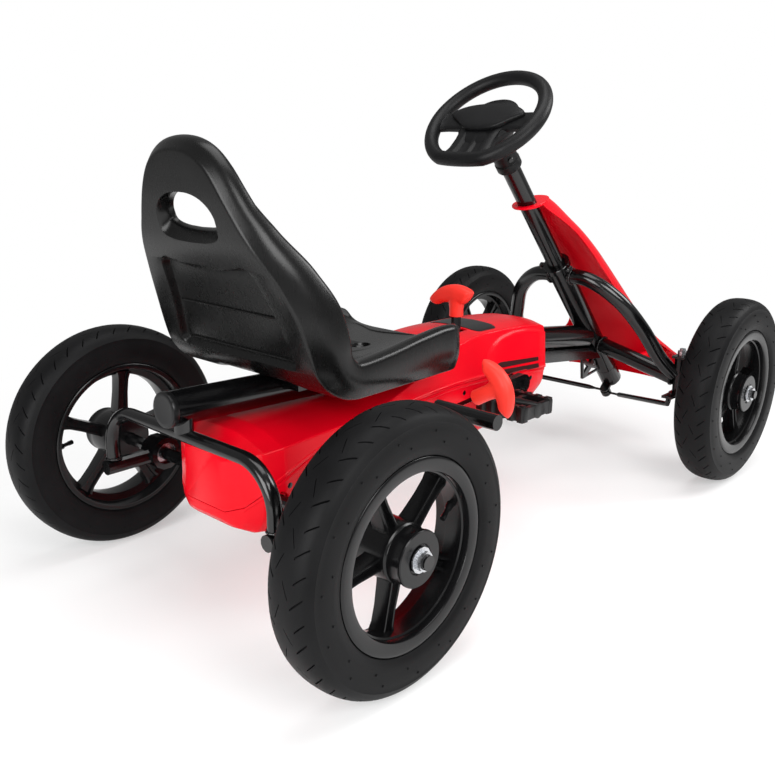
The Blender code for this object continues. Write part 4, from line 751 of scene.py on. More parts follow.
def seat_sizes(distance):
    """Sizes of the section: from the table, rounded in plan at the front."""
    half, wing, floor, hollow, bow = fair(SEAT_ROWS, distance)
    if distance < FRONT_ROUND:
        near = (1.0 - distance / FRONT_ROUND) ** 3
        half -= FRONT_NARROWER * near
        wing *= 1.0 - FRONT_LOWER * near
    return half, wing, floor, hollow, bow


def seat_place(distance):
    """A point of the seat's underside, and the way to the rider's side there."""
    bow = seat_sizes(distance)[4]
    if distance <= PAN:
        return Vector((SEAT_FRONT - distance, 0.0, SEAT_BASE)), UP
    if distance <= FOOT:
        turn = (distance - PAN) / BEND_R
        inward = UP * math.cos(turn) + FORWARD * math.sin(turn)
        return Vector((SEAT_FOOT + SEAT_BEND, 0.0, SEAT_BASE + BEND_R)) - inward * BEND_R, inward
    return CORNER + LEAN * (SEAT_BEND + distance - FOOT) - BACK_OUT * bow, BACK_OUT


def round_corner(before, here, after, reach, share, steps):
    """Points that round a corner off, over its reach along both edges or a share of them."""
    start, end = (here + (p - here).normalized() * min(reach, (p - here).length * share)
                  for p in (before, after))
    turns = [k / (steps - 1) for k in range(steps)]
    return [start * (1 - t) ** 2 + here * 2 * t * (1 - t) + end * t ** 2 for t in turns]


def soft_ring(corners, steps):
    """A ring of points through (x, y, reach) corners, each rounded off."""
    places = [Vector(corner[:2]) for corner in corners]
    ring = []
    for i, here in enumerate(places):
        after = places[(i + 1) % len(places)]
        ring += round_corner(places[i - 1], here, after, corners[i][2], 0.48, steps)
    return ring


def seat_section(distance):
    """A ring round the seat's section: underside, bellied side, rolled wing and the rider's hollow."""
    half, wing, floor, hollow, _ = seat_sizes(distance)
    size = min(1.0, half / 0.10)
    rise = wing - floor
    upright = min(max((distance - PAN) / (FOOT - PAN), 0.0), 1.0)
    under = (0.008 + 0.005 * upright) * size
    belly = 0.36 + 0.10 * upright
    side = [(0.43 * half, hollow, 0.010), (0.53 * half, 0.0, 0.010), (half - under, 0.0, 0.0035 * size),
            (half, belly * wing, belly * 0.85 * wing), (half - 0.0025 * size, 0.97 * wing, 0.007 * size),
            (half - 0.017 * size, wing, 0.009 * size), (0.70 * half, floor + 0.26 * rise, 0.030),
            (0.45 * half, floor, 0.030)]
    return soft_ring(side + [(-x, y, reach) for x, y, reach in reversed(side)], 7)


def inset_ring(ring, depth):
    """A ring moved inward, square to its own edges."""
    out = []
    for i, point in enumerate(ring):
        along = ring[(i + 1) % len(ring)] - ring[i - 1]
        inward = Vector((-along.y, along.x)).normalized() if along.length > 1e-9 else Vector((0.0, 0.0))
        out.append(point + inward * depth)
    return out


def arch_rings(steps):
    """The top of the back: its last section swung up about its middle, until both halves meet."""
    section = seat_section(ARCH_START)
    half = seat_sizes(ARCH_START)[0]
    corners = [Vector((half, 0.0)), Vector((half - 0.021, 0.038)), Vector((0.058, ARCH_RISE)),
               Vector((0.0, ARCH_RISE))]
    rings = []
    for k in range(1, steps + 1):
        t = k / steps
        weights = ((1 - t) ** 3, 3 * t * (1 - t) ** 2, 3 * t * t * (1 - t), t ** 3)
        edge = sum((c * w for c, w in zip(corners, weights)), Vector((0.0, 0.0)))
        ring = []
        for p in section:
            out = abs(p.x) / half
            point, inward = seat_place(ARCH_START + edge.y * out)
            thin = 1.0 - 0.15 * edge.y * out / ARCH_RISE
            ring.append(point + LEFT * math.copysign(edge.x * out, p.x) + inward * p.y * thin)
        rings.append(ring)
    return rings


def make_seat():
    """The whole shell: a rounded front edge, rows up to the arch, and the arch over the top."""
    rows = 150
    turns = [math.pi / 2 * k / 6 for k in range(6, 0, -1)]
    places = [(0.0, FRONT_EDGE * (1 - math.cos(t)), FRONT_EDGE * math.sin(t)) for t in turns]
    places += [(ARCH_START * k / rows, 0.0, 0.0) for k in range(rows + 1)]
    rings = []
    for distance, inset, ahead in places:
        point, inward = seat_place(distance)
        ring = inset_ring(seat_section(distance), inset)
        rings.append([point + FORWARD * ahead + LEFT * p.x + inward * p.y for p in ring])
    bm = bmesh.new()
    skin(bm, rings + arch_rings(48), end_cap=False)
    return to_object("look_seat", bm, SEAT_BLACK, 60.0)


seat_shell = make_seat()
print("seat shell has", len(seat_shell.data.polygons), "faces")

# %% [markdown]
# Three cuts finish the seat: a hand hole like a letter D on its side, with a wide bevel behind; a sunken
# panel in the back with slanted walls and two thin ribs; and two oval pockets in the pan for the bolts that
# hold it. Every cutter follows the shell's own curve, and a small bevel rounds the edges that are left.

# %% Seat cuts
HOLE_Z = 0.470
# Rows of the hand hole: place through the back, half width, reach down, reach up
HOLE_ROWS = [(-0.030, 0.0700, 0.0480, 0.0450), (-0.0020, 0.0540, 0.0265, 0.0290),
             (0.0020, 0.0505, 0.0235, 0.0262), (0.0090, 0.0475, 0.0168, 0.0240),
             (0.0125, 0.0460, 0.0150, 0.0232), (0.0200, 0.0460, 0.0150, 0.0232),
             (0.0270, 0.0490, 0.0172, 0.0262), (0.0600, 0.0640, 0.0300, 0.0400)]
PANEL_Z = (0.3030, 0.4200)
PANEL_HALF = (0.109, 0.082)
PANEL_DEPTH = 0.0085
PANEL_SLANT = 0.0045
PANEL_SAG = 0.010
PANEL_CORNER = 0.015
# Height and half length of the ribs across the panel
RIBS = ((0.360, 0.088), (0.3115, 0.094))
PAN_FLOOR = SEAT_BASE + 0.030
BOLT_X = -0.236
BOLT_Y = 0.042


def back_distance(z):
    """Distance along the seat at which its back is at a height."""
    return FOOT + (z - SEAT_BASE) / LEAN.z - SEAT_BEND


def hole_outline(wide, low, high, count=48):
    """A rounded D on its side: nearly flat below, arched and a little narrower above."""
    outline = []
    for k in range(count):
        turn = 2 * math.pi * k / count
        rise = abs(math.sin(turn))
        above = math.sin(turn) > 0
        x = wide * math.copysign(abs(math.cos(turn)) ** (0.80 if above else 0.42), math.cos(turn))
        y = high * rise ** 0.90 if above else -low * rise ** 0.34
        sag = 0.0 if above else 0.004 * (1.0 - (x / wide) ** 2)
        outline.append((x * (1.0 - 0.14 * max(y, 0.0) / high), y - sag))
    return outline


def edge_steps(low, high, slant, inner):
    """Places from one edge to the other, closer together over the slanted walls."""
    walls = [slant * k / 3 for k in range(4)]
    flat = [low + slant + (high - low - 2 * slant) * k / inner for k in range(1, inner)]
    return [low + w for w in walls] + flat + [high - w for w in reversed(walls)]


def panel_cutter():
    """A cutter for the panel sunk in the back: rows up the back, each as wide as the panel is there."""
    low, high = (back_distance(z) for z in PANEL_Z)
    rings = []
    for distance in edge_steps(low, high, PANEL_SLANT, 24):
        t = (distance - low) / (high - low)
        edge = min(distance - low, high - distance)
        inset = PANEL_CORNER - math.sqrt(PANEL_CORNER ** 2 - max(PANEL_CORNER - edge, 0.0) ** 2)
        half = PANEL_HALF[0] + (PANEL_HALF[1] - PANEL_HALF[0]) * t - inset
        outer, floor = [], []
        for y in edge_steps(-half, half, PANEL_SLANT, 16):
            sag = PANEL_SAG * (1.0 - (y / half) ** 2) * t ** 3
            deep = PANEL_DEPTH * min(1.0, edge / PANEL_SLANT, (half - abs(y)) / PANEL_SLANT)
            point, inward = seat_place(distance - sag)
            outer.append(point + LEFT * y - inward * 0.02)
            floor.append(point + LEFT * y + inward * (deep - 0.0002))
        rings.append(outer + list(reversed(floor)))
    bm = bmesh.new()
    skin(bm, rings)
    return to_object("back_panel", bm, SEAT_BLACK)


def hole_cutter():
    """A cutter for the hand hole, with its bevels."""
    point, _ = seat_place(back_distance(HOLE_Z))
    matrix = axis_frame(point, BACK_OUT, LEFT)
    bm = bmesh.new()
    skin(bm, [[matrix @ Vector((x, y, z)) for x, y in hole_outline(wide, low, high)]
              for z, wide, low, high in HOLE_ROWS])
    return to_object("hand_hole", bm, SEAT_BLACK)


def pocket_cutter():
    """A cutter for the two oval pockets in the pan."""
    bm = bmesh.new()
    for side in (1, -1):
        matrix = axis_frame(Vector((BOLT_X, side * BOLT_Y, PAN_FLOOR)), UP, FORWARD)
        rings = []
        for z, grow in ((-0.007, 0.80), (-0.006, 0.92), (0.0005, 1.0), (0.012, 1.08)):
            rings.append([matrix @ Vector((a, b, z)) for a, b in oval(0.0155 * grow, 0.0115 * grow, 32)])
        skin(bm, rings)
    return to_object("bolt_pockets", bm, SEAT_BLACK)


def cut_seat(seat):
    """Make all cuts and soften their edges."""
    for cutter in (hole_cutter(), panel_cutter(), pocket_cutter()):
        boolean(seat, cutter, "DIFFERENCE")
    return soften(seat, 0.0012, 32.0, 34.0)


def back_ribs():
    """Two thin ribs across the sunken panel."""
    bm = bmesh.new()
    for z, half in RIBS:
        point, inward = seat_place(back_distance(z))
        path = [point + LEFT * half * (k / 12 - 1.0) + inward * (PANEL_DEPTH - 0.0003) for k in range(25)]
        carry(bm, path, oval(0.0022, 0.0016, 10), BACK_OUT, taper=[0.3] + [1.0] * 23 + [0.3])
    return to_object("back_ribs", bm, SEAT_BLACK)


wear(boolean(cut_seat(seat_shell), back_ribs()), "seat", "black_plastic", "seat")
print("seat finished")

# %% [markdown]
# A flanged hexagon bolt, painted black, sits in each pocket of the pan. A line round the rider's place is
# pressed into the pan; it is drawn as a thin half-round bead, carried along a round path.

# %% Seat bolts and bead


def hex_bolt(bm, place, axis, size, height):
    """A hexagon head with a chamfered top, on a round flange."""
    matrix = axis_frame(place, axis)
    flange = [(0.0, 0.0), (1.35, 0.0), (1.32, 0.22), (1.05, 0.34), (0.0, 0.34)]
    turn_profile(bm, [(size * r, height * h) for r, h in flange], 28, matrix)
    hexagon = [(0.0, 0.3), (1.0, 0.3), (1.0, 0.9), (0.86, 1.0), (0.0, 1.0)]
    turn_profile(bm, [(size * r, height * h) for r, h in hexagon], 6, matrix)


def pan_bead():
    """The bead round the rider's place, open at the back."""
    left = [(-0.300, 0.052), (-0.240, 0.066), (-0.150, 0.060), (-0.160, 0.010)]
    corners = left + [(x, -y) for x, y in reversed(left)]
    path = smooth_path([Vector((x, y, PAN_FLOOR)) for x, y in corners], 10)
    bm = bmesh.new()
    carry(bm, path, oval(0.0012, 0.0026, 12), UP, taper=[0.2] + [1.0] * (len(path) - 2) + [0.2])
    return to_object("look_pan_bead", bm, SEAT_BLACK)


bolts = bmesh.new()
for side in (1, -1):
    hex_bolt(bolts, Vector((BOLT_X, side * BOLT_Y, PAN_FLOOR - 0.0068)), UP, 0.0055, 0.0055)
wear(to_object("look_seat_bolts", bolts, PAINT, 30.0), "seat", "black_paint")
wear(pan_bead(), "seat", "black_plastic")
print("seat bolts and bead made")

# %% [markdown]
# The chain case is two trays that meet at a seam. A row across the upper tray has an upright lip, a side
# that leans in to a ridge, and a low arched top; the lower tray has a rounded belly. Near the front a curved
# crease steps the lower part of the side out. Sculpting would give the same shape with no sizes to change,
# so rows from a table are skinned instead. They are given a wall, and cut where tubes, axles and levers pass.

# %% Chain case shells
# Rows: place, half width, bottom, seam, top, height of the ridge
CASE_ROWS = [(-0.450, 0.036, 0.126, 0.137, 0.205, 0.197), (-0.440, 0.060, 0.115, 0.146, 0.218, 0.204),
             (-0.425, 0.079, 0.108, 0.164, 0.227, 0.210), (-0.402, 0.088, 0.1045, 0.179, 0.2303, 0.2145),
             (-0.330, 0.088, 0.107, 0.202, 0.2303, 0.2185), (-0.262, 0.087, 0.110, 0.211, 0.2303, 0.2225),
             (-0.200, 0.084, 0.114, 0.216, 0.246, 0.237), (-0.150, 0.081, 0.116, 0.219, 0.261, 0.253),
             (-0.100, 0.078, 0.119, 0.220, 0.2745, 0.268), (0.0, 0.072, 0.125, 0.216, 0.283, 0.277),
             (0.100, 0.0675, 0.133, 0.207, 0.2815, 0.2745), (0.142, 0.065, 0.147, 0.2018, 0.278, 0.270),
             (0.162, 0.0625, 0.157, 0.1995, 0.274, 0.2655), (0.168, 0.059, 0.163, 0.1985, 0.2695, 0.261),
             (0.1705, 0.052, 0.170, 0.198, 0.264, 0.253)]
CASE_REAR = CASE_ROWS[0][0]
CASE_FRONT = CASE_ROWS[-1][0]
CASE_STEPS = 130
TAIL_END = -0.40
NOSE_START = 0.14
CASE_LIP = 0.005
CASE_SEAM = 0.0008
CASE_WALL = 0.003
# How far the sides lean in at most, where along the case, and how far from there the lean fades out
SIDE_LEAN = 0.014
LEAN_MIDDLE = 0.01
LEAN_REACH = 0.20
# The crease in the side: (x, z) places, how far it steps out, over what height, and how soon it starts
CREASE = [(0.000, 0.2320), (0.012, 0.2480), (0.026, 0.2590), (0.045, 0.2660), (0.075, 0.2695),
          (0.110, 0.2680), (0.145, 0.2620), (0.175, 0.2540)]
CREASE_STEP = 0.0022
CREASE_TALL = 0.0026
CREASE_FADE = 0.02


def along_rows(table, at):
    """Read a table straight between its rows, so that facets stay flat."""
    for low, high in zip(table, table[1:]):
        if at <= high[0]:
            t = (at - low[0]) / (high[0] - low[0])
            return [a + (b - a) * t for a, b in zip(low[1:], high[1:])]
    return list(table[-1][1:])


def flank(x, z):
    """How far the side stands out below the curved crease at the front."""
    if x < CREASE[0][0]:
        return 0.0
    below = (along_rows(CREASE, x)[0] - z) / CREASE_TALL
    fade = min(1.0, (x - CREASE[0][0]) / CREASE_FADE)
    return CREASE_STEP * fade * min(max(below + 0.5, 0.0), 1.0)


def case_ring(x, upper):
    """One row across a tray, from the left seam over the top, or under the belly, to the right seam."""
    straight = x < TAIL_END or x > NOSE_START
    half, bottom, seam, top, ridge = along_rows(CASE_ROWS, x) if straight else fair(CASE_ROWS, x)
    way = 1 if upper else -1
    edge = seam + way * CASE_SEAM / 2
    lip = edge + way * CASE_LIP
    if upper:
        lean = half - 0.002 - SIDE_LEAN * max(0.0, 1.0 - abs(x - LEAN_MIDDLE) / LEAN_REACH)
        corners = [(lean, ridge, 0.0022), (lean * 0.52, top - 0.0010, 0.030)]
        steps, climb, peak = 12, 26, Vector((0.0, top))
    else:
        corners = [(half - 0.003, bottom + 0.42 * (seam - bottom), 0.012), (half * 0.76, bottom, 0.022)]
        steps, climb, peak = 8, 5, Vector((0.0, bottom))
    outline = [Vector((half, edge)), Vector((half, lip - way * 0.0012)), Vector((half - 0.0009, lip))]
    for i, (y, z, reach) in enumerate(corners):
        after = Vector(corners[1][:2]) if i == 0 else peak
        turn = round_corner(outline[-1], Vector((y, z)), after, reach, 0.45, steps)
        if i == 0:
            outline += [outline[-1].lerp(turn[0], k / climb) for k in range(1, climb)]
        outline += turn
    outline += [outline[-1].lerp(peak, k / 4) for k in (1, 2, 3)]
    if upper:
        outline = [Vector((p.x + flank(x, p.y), p.y)) for p in outline]
    right = [Vector((-p.x, p.y)) for p in reversed(outline)]
    return [Vector((x, p.x, p.y)) for p in [*outline, peak, *right]]


def case_half(name, upper):
    """One tray, open at its seam and given a wall."""
    way = 1 if upper else -1
    length = CASE_FRONT - CASE_REAR
    steps = {round(CASE_REAR + length * k / CASE_STEPS, 4) for k in range(1, CASE_STEPS)}
    places = sorted({row[0] for row in CASE_ROWS} | steps)
    bm = bmesh.new()
    loops = [[bm.verts.new(p) for p in case_ring(x, upper)] for x in places]
    bm.faces.new(loops[0])
    bm.faces.new(reversed(loops[-1]))
    for a, b in zip(loops, loops[1:]):
        for i in range(len(a) - 1):
            bm.faces.new((a[i + 1], a[i], b[i], b[i + 1]))
    case = to_object(name, bm, COVER_RED, 30.0)
    if sum(p.normal.z * p.area for p in case.data.polygons) * way < 0:
        case.data.flip_normals()
    wall = case.modifiers.new("wall", "SOLIDIFY")
    wall.thickness = CASE_WALL
    wall.offset = -1.0
    wall.use_even_offset = True
    return bake(case, 30.0)


case_upper = case_half("look_case_upper", True)
case_lower = case_half("look_case_lower", False)
print("case trays have", len(case_upper.data.polygons), "and", len(case_lower.data.polygons), "faces")

# %% [markdown]
# The backbone, its flat brace, both axles, the brake's pin and the gear lever pass through the trays. Each
# opening is cut with the shape that passes, grown by a clearance, so it stays true wherever the wall slopes.

# %% Chain case openings
BACKBONE_REAR = Vector((-0.4930, 0.0, 0.2612))
BACKBONE_BEND = Vector((0.1300, 0.0, 0.2375))
BACKBONE_FALL = 0.126
BACKBONE_NOSE = 0.27
BACKBONE_SPACE = 0.0206
BRACE_HALF = 0.0130
BRACE_TALL = 0.0226
BRACE_DROP = 0.019
CRANK = middle_of("crankshaft")
LEVER = middle_of("shift_lever")
LEVER_SLOT_X = 0.0206
LEVER_SLOT_Y = 0.0055
BRAKE_PIN = Vector((-0.135, 0.0, 0.193))
SHAFT_SPACE = 0.0115
PIN_SPACE = 0.0066
PAST_CASE = 0.12


def backbone_line(overrun):
    """Rear end, bend and front of the backbone's middle line, with its rear end drawn out."""
    along = (BACKBONE_REAR - BACKBONE_BEND).normalized()
    front = BACKBONE_BEND + Vector((1.0, 0.0, -BACKBONE_FALL)) * BACKBONE_NOSE
    return [BACKBONE_REAR + along * overrun, BACKBONE_BEND, front]


def backbone_space():
    """The backbone, grown by its clearance."""
    bm = bmesh.new()
    carry(bm, backbone_line(0.02), oval(BACKBONE_SPACE, BACKBONE_SPACE, 40), LEFT)
    return to_object("backbone_space", bm, COVER_RED)


def brace_space():
    """The flat brace under the backbone's front, grown by its clearance."""
    rings = []
    for x in (0.134, 0.25):
        top = BACKBONE_BEND.z - BACKBONE_FALL * (x - BACKBONE_BEND.x) - BRACE_DROP
        low = top - BRACE_TALL
        left, right = BRACE_HALF, -BRACE_HALF
        rings.append([(x, right, low), (x, left, low), (x, left, top), (x, right, top)])
    bm = bmesh.new()
    skin(bm, rings)
    return to_object("brace_space", bm, COVER_RED)


def lever_slot():
    """The slot in the top that the gear lever swings in."""
    bm = bmesh.new()
    box_shape(bm, (LEVER.x - LEVER_SLOT_X, LEVER.y - LEVER_SLOT_Y, 0.25),
              (LEVER.x + LEVER_SLOT_X, LEVER.y + LEVER_SLOT_Y, 0.32))
    return to_object("lever_slot", bm, COVER_RED)


def case_bores():
    """Bores for the rear axle, the crank and the brake's pin, which is on the right only."""
    bm = bmesh.new()
    for x, z in ((REAR_X, WHEEL_Z), (CRANK.x, CRANK.z)):
        rod_space(bm, (x, -PAST_CASE, z), (x, PAST_CASE, z), SHAFT_SPACE)
    rod_space(bm, BRAKE_PIN + RIGHT * PAST_CASE, BRAKE_PIN, PIN_SPACE)
    return to_object("case_bores", bm, COVER_RED)


for tray in (case_upper, case_lower):
    boolean(tray, backbone_space(), "DIFFERENCE")
    boolean(tray, brace_space(), "DIFFERENCE")
boolean(case_upper, lever_slot(), "DIFFERENCE")
boolean(case_lower, case_bores(), "DIFFERENCE")
wear(soften(case_upper, 0.0007, 40.0, 32.0), "frame", "red_plastic", "case_upper")
wear(soften(case_lower, 0.0007, 40.0, 32.0), "frame", "red_plastic", "case_lower")
print("chain case made")

# %% [markdown]
# Two plain dark strips run along the front of each flank, and a plain dark pad lies on top in front of the
# gear lever. They are thin inlays that follow the cover's own surface, so their rings are read from its rows.
# Small domed screws, painted black, hold the two trays together.

# %% Inlays and screws
PROUD = 0.0006
SUNK = 0.0015
# Strips: start and end as (x, z), height at the rear
STRIPS = (((0.019, 0.2292), (0.1380, 0.2183), 0.0082), ((0.029, 0.2168), (0.1380, 0.2078), 0.0090))
PAD_REAR = 0.0005
PAD_LENGTH = 0.052
PAD_HALF = 0.0480
PAD_THICK = 0.0022
SCREW_PLACES = (-0.395, -0.300, -0.060, 0.120)


def side_at(x, z):
    """How far out the case's side stands at a place, read from its own rows."""
    for upper in (True, False):
        ring = [p for p in case_ring(x, upper) if p.y > 0.0]
        for low, high in zip(ring, ring[1:]):
            if min(low.z, high.z) <= z <= max(low.z, high.z) and abs(high.z - low.z) > 1e-7:
                return low.y + (high.y - low.y) * (z - low.z) / (high.z - low.z)
    return along_rows(CASE_ROWS, x)[0]


def flank_strip(bm, side, start, end, thick):
    """A strip from one (x, z) to another, laid on the cover's surface and thinner to the front."""
    rings = []
    for k in range(41):
        t = k / 40
        x = start[0] + (end[0] - start[0]) * t
        z = start[1] + (end[1] - start[1]) * t
        tall = thick * min(1.0 - 0.3 * t, 0.25 + 6.0 * t)
        levels = [z + tall * (j / 4 - 0.5) for j in range(5)]
        ring = [Vector((x, side * (side_at(x, level) + PROUD), level)) for level in levels]
        ring += [Vector((x, side * (side_at(x, level) - SUNK), level)) for level in reversed(levels)]
        rings.append(ring)
    skin(bm, rings)


def top_at(x, y):
    """Height of the case's top at a place, read from its own rows."""
    ring = [p for p in case_ring(x, True) if p.y >= 0.0]
    for out, inner in zip(reversed(ring[:-1]), reversed(ring)):
        if inner.y <= y <= out.y and out.y - inner.y > 1e-7:
            return inner.z + (out.z - inner.z) * (y - inner.y) / (out.y - inner.y)
    return ring[-1].z


def top_pad():
    """The dark pad on top of the cover, with rounded corners."""
    rings = []
    for k in range(33):
        t = k / 32
        x = PAD_REAR + PAD_LENGTH * t
        half = PAD_HALF - 0.010 * abs(2 * t - 1) ** 8
        over = []
        for y in (half * (j / 12 - 1.0) for j in range(25)):
            lift = 0.0008 if abs(y) < half - 0.0005 else 0.0002
            over.append(Vector((x, y, top_at(x, abs(y)) + lift)))
        rings.append(over + [p - UP * PAD_THICK for p in reversed(over)])
    bm = bmesh.new()
    skin(bm, rings)
    return to_object("look_case_pad", bm, PEDAL_BLACK)


def pan_screw(bm, place, axis, size):
    """A low domed screw head."""
    dome = [(0.0, -0.001), (size, -0.001), (size, 0.0006), (size * 0.8, 0.0018), (size * 0.3, 0.0022),
            (0.0, 0.0022)]
    turn_profile(bm, dome, 24, axis_frame(place, axis))


strips = bmesh.new()
for side in (1, -1):
    for strip in STRIPS:
        flank_strip(strips, side, *strip)
wear(to_object("look_case_strips", strips, STRIPE_BLACK), "frame", "red_plastic")
wear(top_pad(), "frame", "black_plastic")
screws = bmesh.new()
for side in (1, -1):
    for x in SCREW_PLACES:
        half, _, seam, _, _ = fair(CASE_ROWS, x)
        pan_screw(screws, Vector((x, side * (half - 0.0028), seam - 0.014)), LEFT * side, 0.0042)
wear(to_object("look_case_screws", screws, PAINT, 30.0), "frame", "black_paint")
print("inlays and screws made")

# %% [markdown]
# The fairing is a thin bowed shield in front of the column. From behind, the eye sees its hollow side and a
# lighter band where the near wall turns round. The edge is rolled into a small bead, a thin plate at the top
# goes round the column, and two bosses reach back to the axle beam.

# %% Front fairing
STEERING_TOP = Vector((0.0700, 0.0, 0.5760))
STEERING_LEAN = math.radians(42.47)
DOWN_COLUMN = Vector((math.sin(STEERING_LEAN), 0.0, -math.cos(STEERING_LEAN)))
ACROSS_COLUMN = Vector((math.cos(STEERING_LEAN), 0.0, math.sin(STEERING_LEAN)))


def on_column(distance):
    """A place on the column's middle line, at a distance below the steering wheel."""
    return STEERING_TOP + DOWN_COLUMN * distance


# Rows: height below zero, so that rows run down; half width; edge and middle along x; rise of the middle
FAIRING_ROWS = [(-0.4505, 0.0245, 0.192, 0.230, 0.010), (-0.444, 0.0262, 0.2020, 0.252, 0.006),
                (-0.432, 0.0293, 0.2250, 0.278, 0.002), (-0.420, 0.0325, 0.2480, 0.299, 0.0),
                (-0.400, 0.0375, 0.2800, 0.329, 0.0), (-0.370, 0.0430, 0.3165, 0.370, 0.0),
                (-0.340, 0.0475, 0.3480, 0.407, 0.0), (-0.310, 0.0525, 0.3790, 0.441, 0.0),
                (-0.280, 0.0585, 0.4100, 0.472, 0.0), (-0.250, 0.0665, 0.4400, 0.500, 0.0),
                (-0.220, 0.0780, 0.4670, 0.523, 0.0), (-0.200, 0.0920, 0.4810, 0.533, 0.0),
                (-0.180, 0.118, 0.4930, 0.538, 0.0), (-0.165, 0.134, 0.505, 0.540, 0.0),
                (-0.150, 0.131, 0.512, 0.541, 0.0), (-0.131, 0.118, 0.518, 0.538, 0.0),
                (-0.115, 0.104, 0.520, 0.533, 0.0)]
FAIRING_WALL = 0.003
FAIRING_ACROSS = 44
FAIRING_STEPS = 110
LIP_TURNS = (0.5, 1.05, 1.6, 2.1, 2.65)
PLATE_RADIUS = 0.025
PLATE_TILT = math.radians(15.0)
PLATE_NOSE = [(0.020, -0.0240), (0.034, -0.0180), (0.0425, -0.0080), (0.0425, 0.0080), (0.034, 0.0180),
              (0.020, 0.0240)]
COLUMN_SPACE = 0.0147
BOSS_RADIUS = 0.008
BOSS_SHARE = 0.498
COLLAR = on_column(0.1716)
BEAM_MIDDLE = on_column(0.523)
BEAM_END = Vector((FRONT_X, 0.180, WHEEL_Z + 0.001))


def fairing_point(depth, turn):
    """A point of the outside, at a height and a turn from the left edge to the right one."""
    half, edge, middle, rise = fair(FAIRING_ROWS, depth)
    bow = math.sin(turn)
    return Vector((edge + (middle - edge) * bow, half * math.cos(turn), -depth + rise * bow))


def fairing_plate():
    """The plate round the column: a half round behind and a blunt nose in front, tilted."""
    matrix = axis_frame(COLLAR, (-math.sin(PLATE_TILT), 0.0, math.cos(PLATE_TILT)), FORWARD)
    turns = [math.pi / 2 + math.pi * k / 24 for k in range(25)]
    outline = [(PLATE_RADIUS * math.cos(t), PLATE_RADIUS * math.sin(t)) for t in turns]
    outline += [tuple(p[:2]) for p in smooth_path([(x, y, 0.0) for x, y in PLATE_NOSE], 6)]
    rings = []
    for z, grow in ((-0.0020, 0.975), (-0.0012, 1.0), (0.0012, 1.0), (0.0020, 0.975)):
        rings.append([matrix @ Vector((x * grow, y * grow, z)) for x, y in outline])
    bm = bmesh.new()
    skin(bm, rings)
    return to_object("column_plate", bm, COVER_RED)


def fairing_ring(depth):
    """One row of the shell: the outside, a rolled edge, back along the inside, and the other edge."""
    half, edge, middle, _ = fair(FAIRING_ROWS, depth)
    turns = [math.pi * k / FAIRING_ACROSS for k in range(FAIRING_ACROSS + 1)]
    outside = [fairing_point(depth, t) for t in turns]
    inside = []
    for t, point in zip(turns, outside):
        out = Vector((half * math.sin(t), (middle - edge) * math.cos(t), 0.0)).normalized()
        inside.append(point - out * FAIRING_WALL)
    bead = FAIRING_WALL * 0.72
    lips = []
    for end in (0, -1):
        centre = (outside[end] + inside[end]) / 2
        out = (outside[end] - centre).normalized()
        lips.append([centre + out * bead * math.cos(u) - FORWARD * bead * math.sin(u) for u in LIP_TURNS])
    return [*outside, *lips[1], *reversed(inside), *reversed(lips[0])]


def fairing_shell():
    """The rows of the shell, skinned round, with its top and bottom edges closed across the wall."""
    top, low = FAIRING_ROWS[0][0], FAIRING_ROWS[-1][0]
    rings = [fairing_ring(top + (low - top) * k / FAIRING_STEPS) for k in range(FAIRING_STEPS + 1)]
    bm = bmesh.new()
    loops = [[bm.verts.new(p) for p in ring] for ring in rings]
    count = len(loops[0])
    for a, b in zip(loops, loops[1:]):
        for i in range(count):
            j = (i + 1) % count
            bm.faces.new((a[i], a[j], b[j], b[i]))
    inner = 2 * FAIRING_ACROSS + len(LIP_TURNS) + 1
    for loop in (loops[0], loops[-1]):
        for i in range(FAIRING_ACROSS):
            bm.faces.new((loop[i], loop[i + 1], loop[inner - i - 1], loop[inner - i]))
        bm.faces.new(loop[FAIRING_ACROSS:inner - FAIRING_ACROSS + 1])
        bm.faces.new([loop[0], *reversed(loop[inner:])])
    return to_object("look_front_fairing", bm, COVER_RED)


def beam_bosses():
    """Two bosses from the axle beam to the shell's inside."""
    bm = bmesh.new()
    for side in (1, -1):
        boss = BEAM_MIDDLE.lerp(Vector((BEAM_END.x, side * BEAM_END.y, BEAM_END.z)), BOSS_SHARE)
        half, edge, middle, _ = fair(FAIRING_ROWS, -boss.z)
        reach = edge + (middle - edge) * math.sqrt(1.0 - (boss.y / half) ** 2) - FAIRING_WALL - 0.0005
        rod_space(bm, boss + FORWARD * 0.0125, Vector((reach, boss.y, boss.z)), BOSS_RADIUS)
    return to_object("beam_bosses", bm, COVER_RED)


def make_fairing():
    """Shell, plate and bosses as one moulding."""
    fairing = fairing_shell()
    bm = bmesh.new()
    rod_space(bm, on_column(0.11), on_column(0.22), COLUMN_SPACE)
    plate = boolean(fairing_plate(), to_object("column_space", bm, COVER_RED), "DIFFERENCE")
    wear(merge(fairing, plate, beam_bosses()), "frame", "red_plastic", "front_fairing")


make_fairing()
print("fairing made")

# %% [markdown]
# The steering wheel is a foam-covered ring with a flattened foot. Broad arms run out to both sides of a
# wide padded hub, and a two-legged stem with a sunken middle runs down to the foot. Below, a flared socket
# takes the column and ends in a step, with a screw through its side. The ring is carried round, the socket
# is turned, the arms are skinned, and all are joined before the edges are softened.

# %% Steering wheel
WHEEL_PLANE = axis_frame(STEERING_TOP, -DOWN_COLUMN, RIGHT)
RING_RADIUS = 0.0885
RING_GRIP = 0.0103
RING_FOOT = 0.080
RING_STEPS = 128
SOCKET = 0.0185
SOCKET_END = -0.0925
SOCKET_BORE = 0.0149
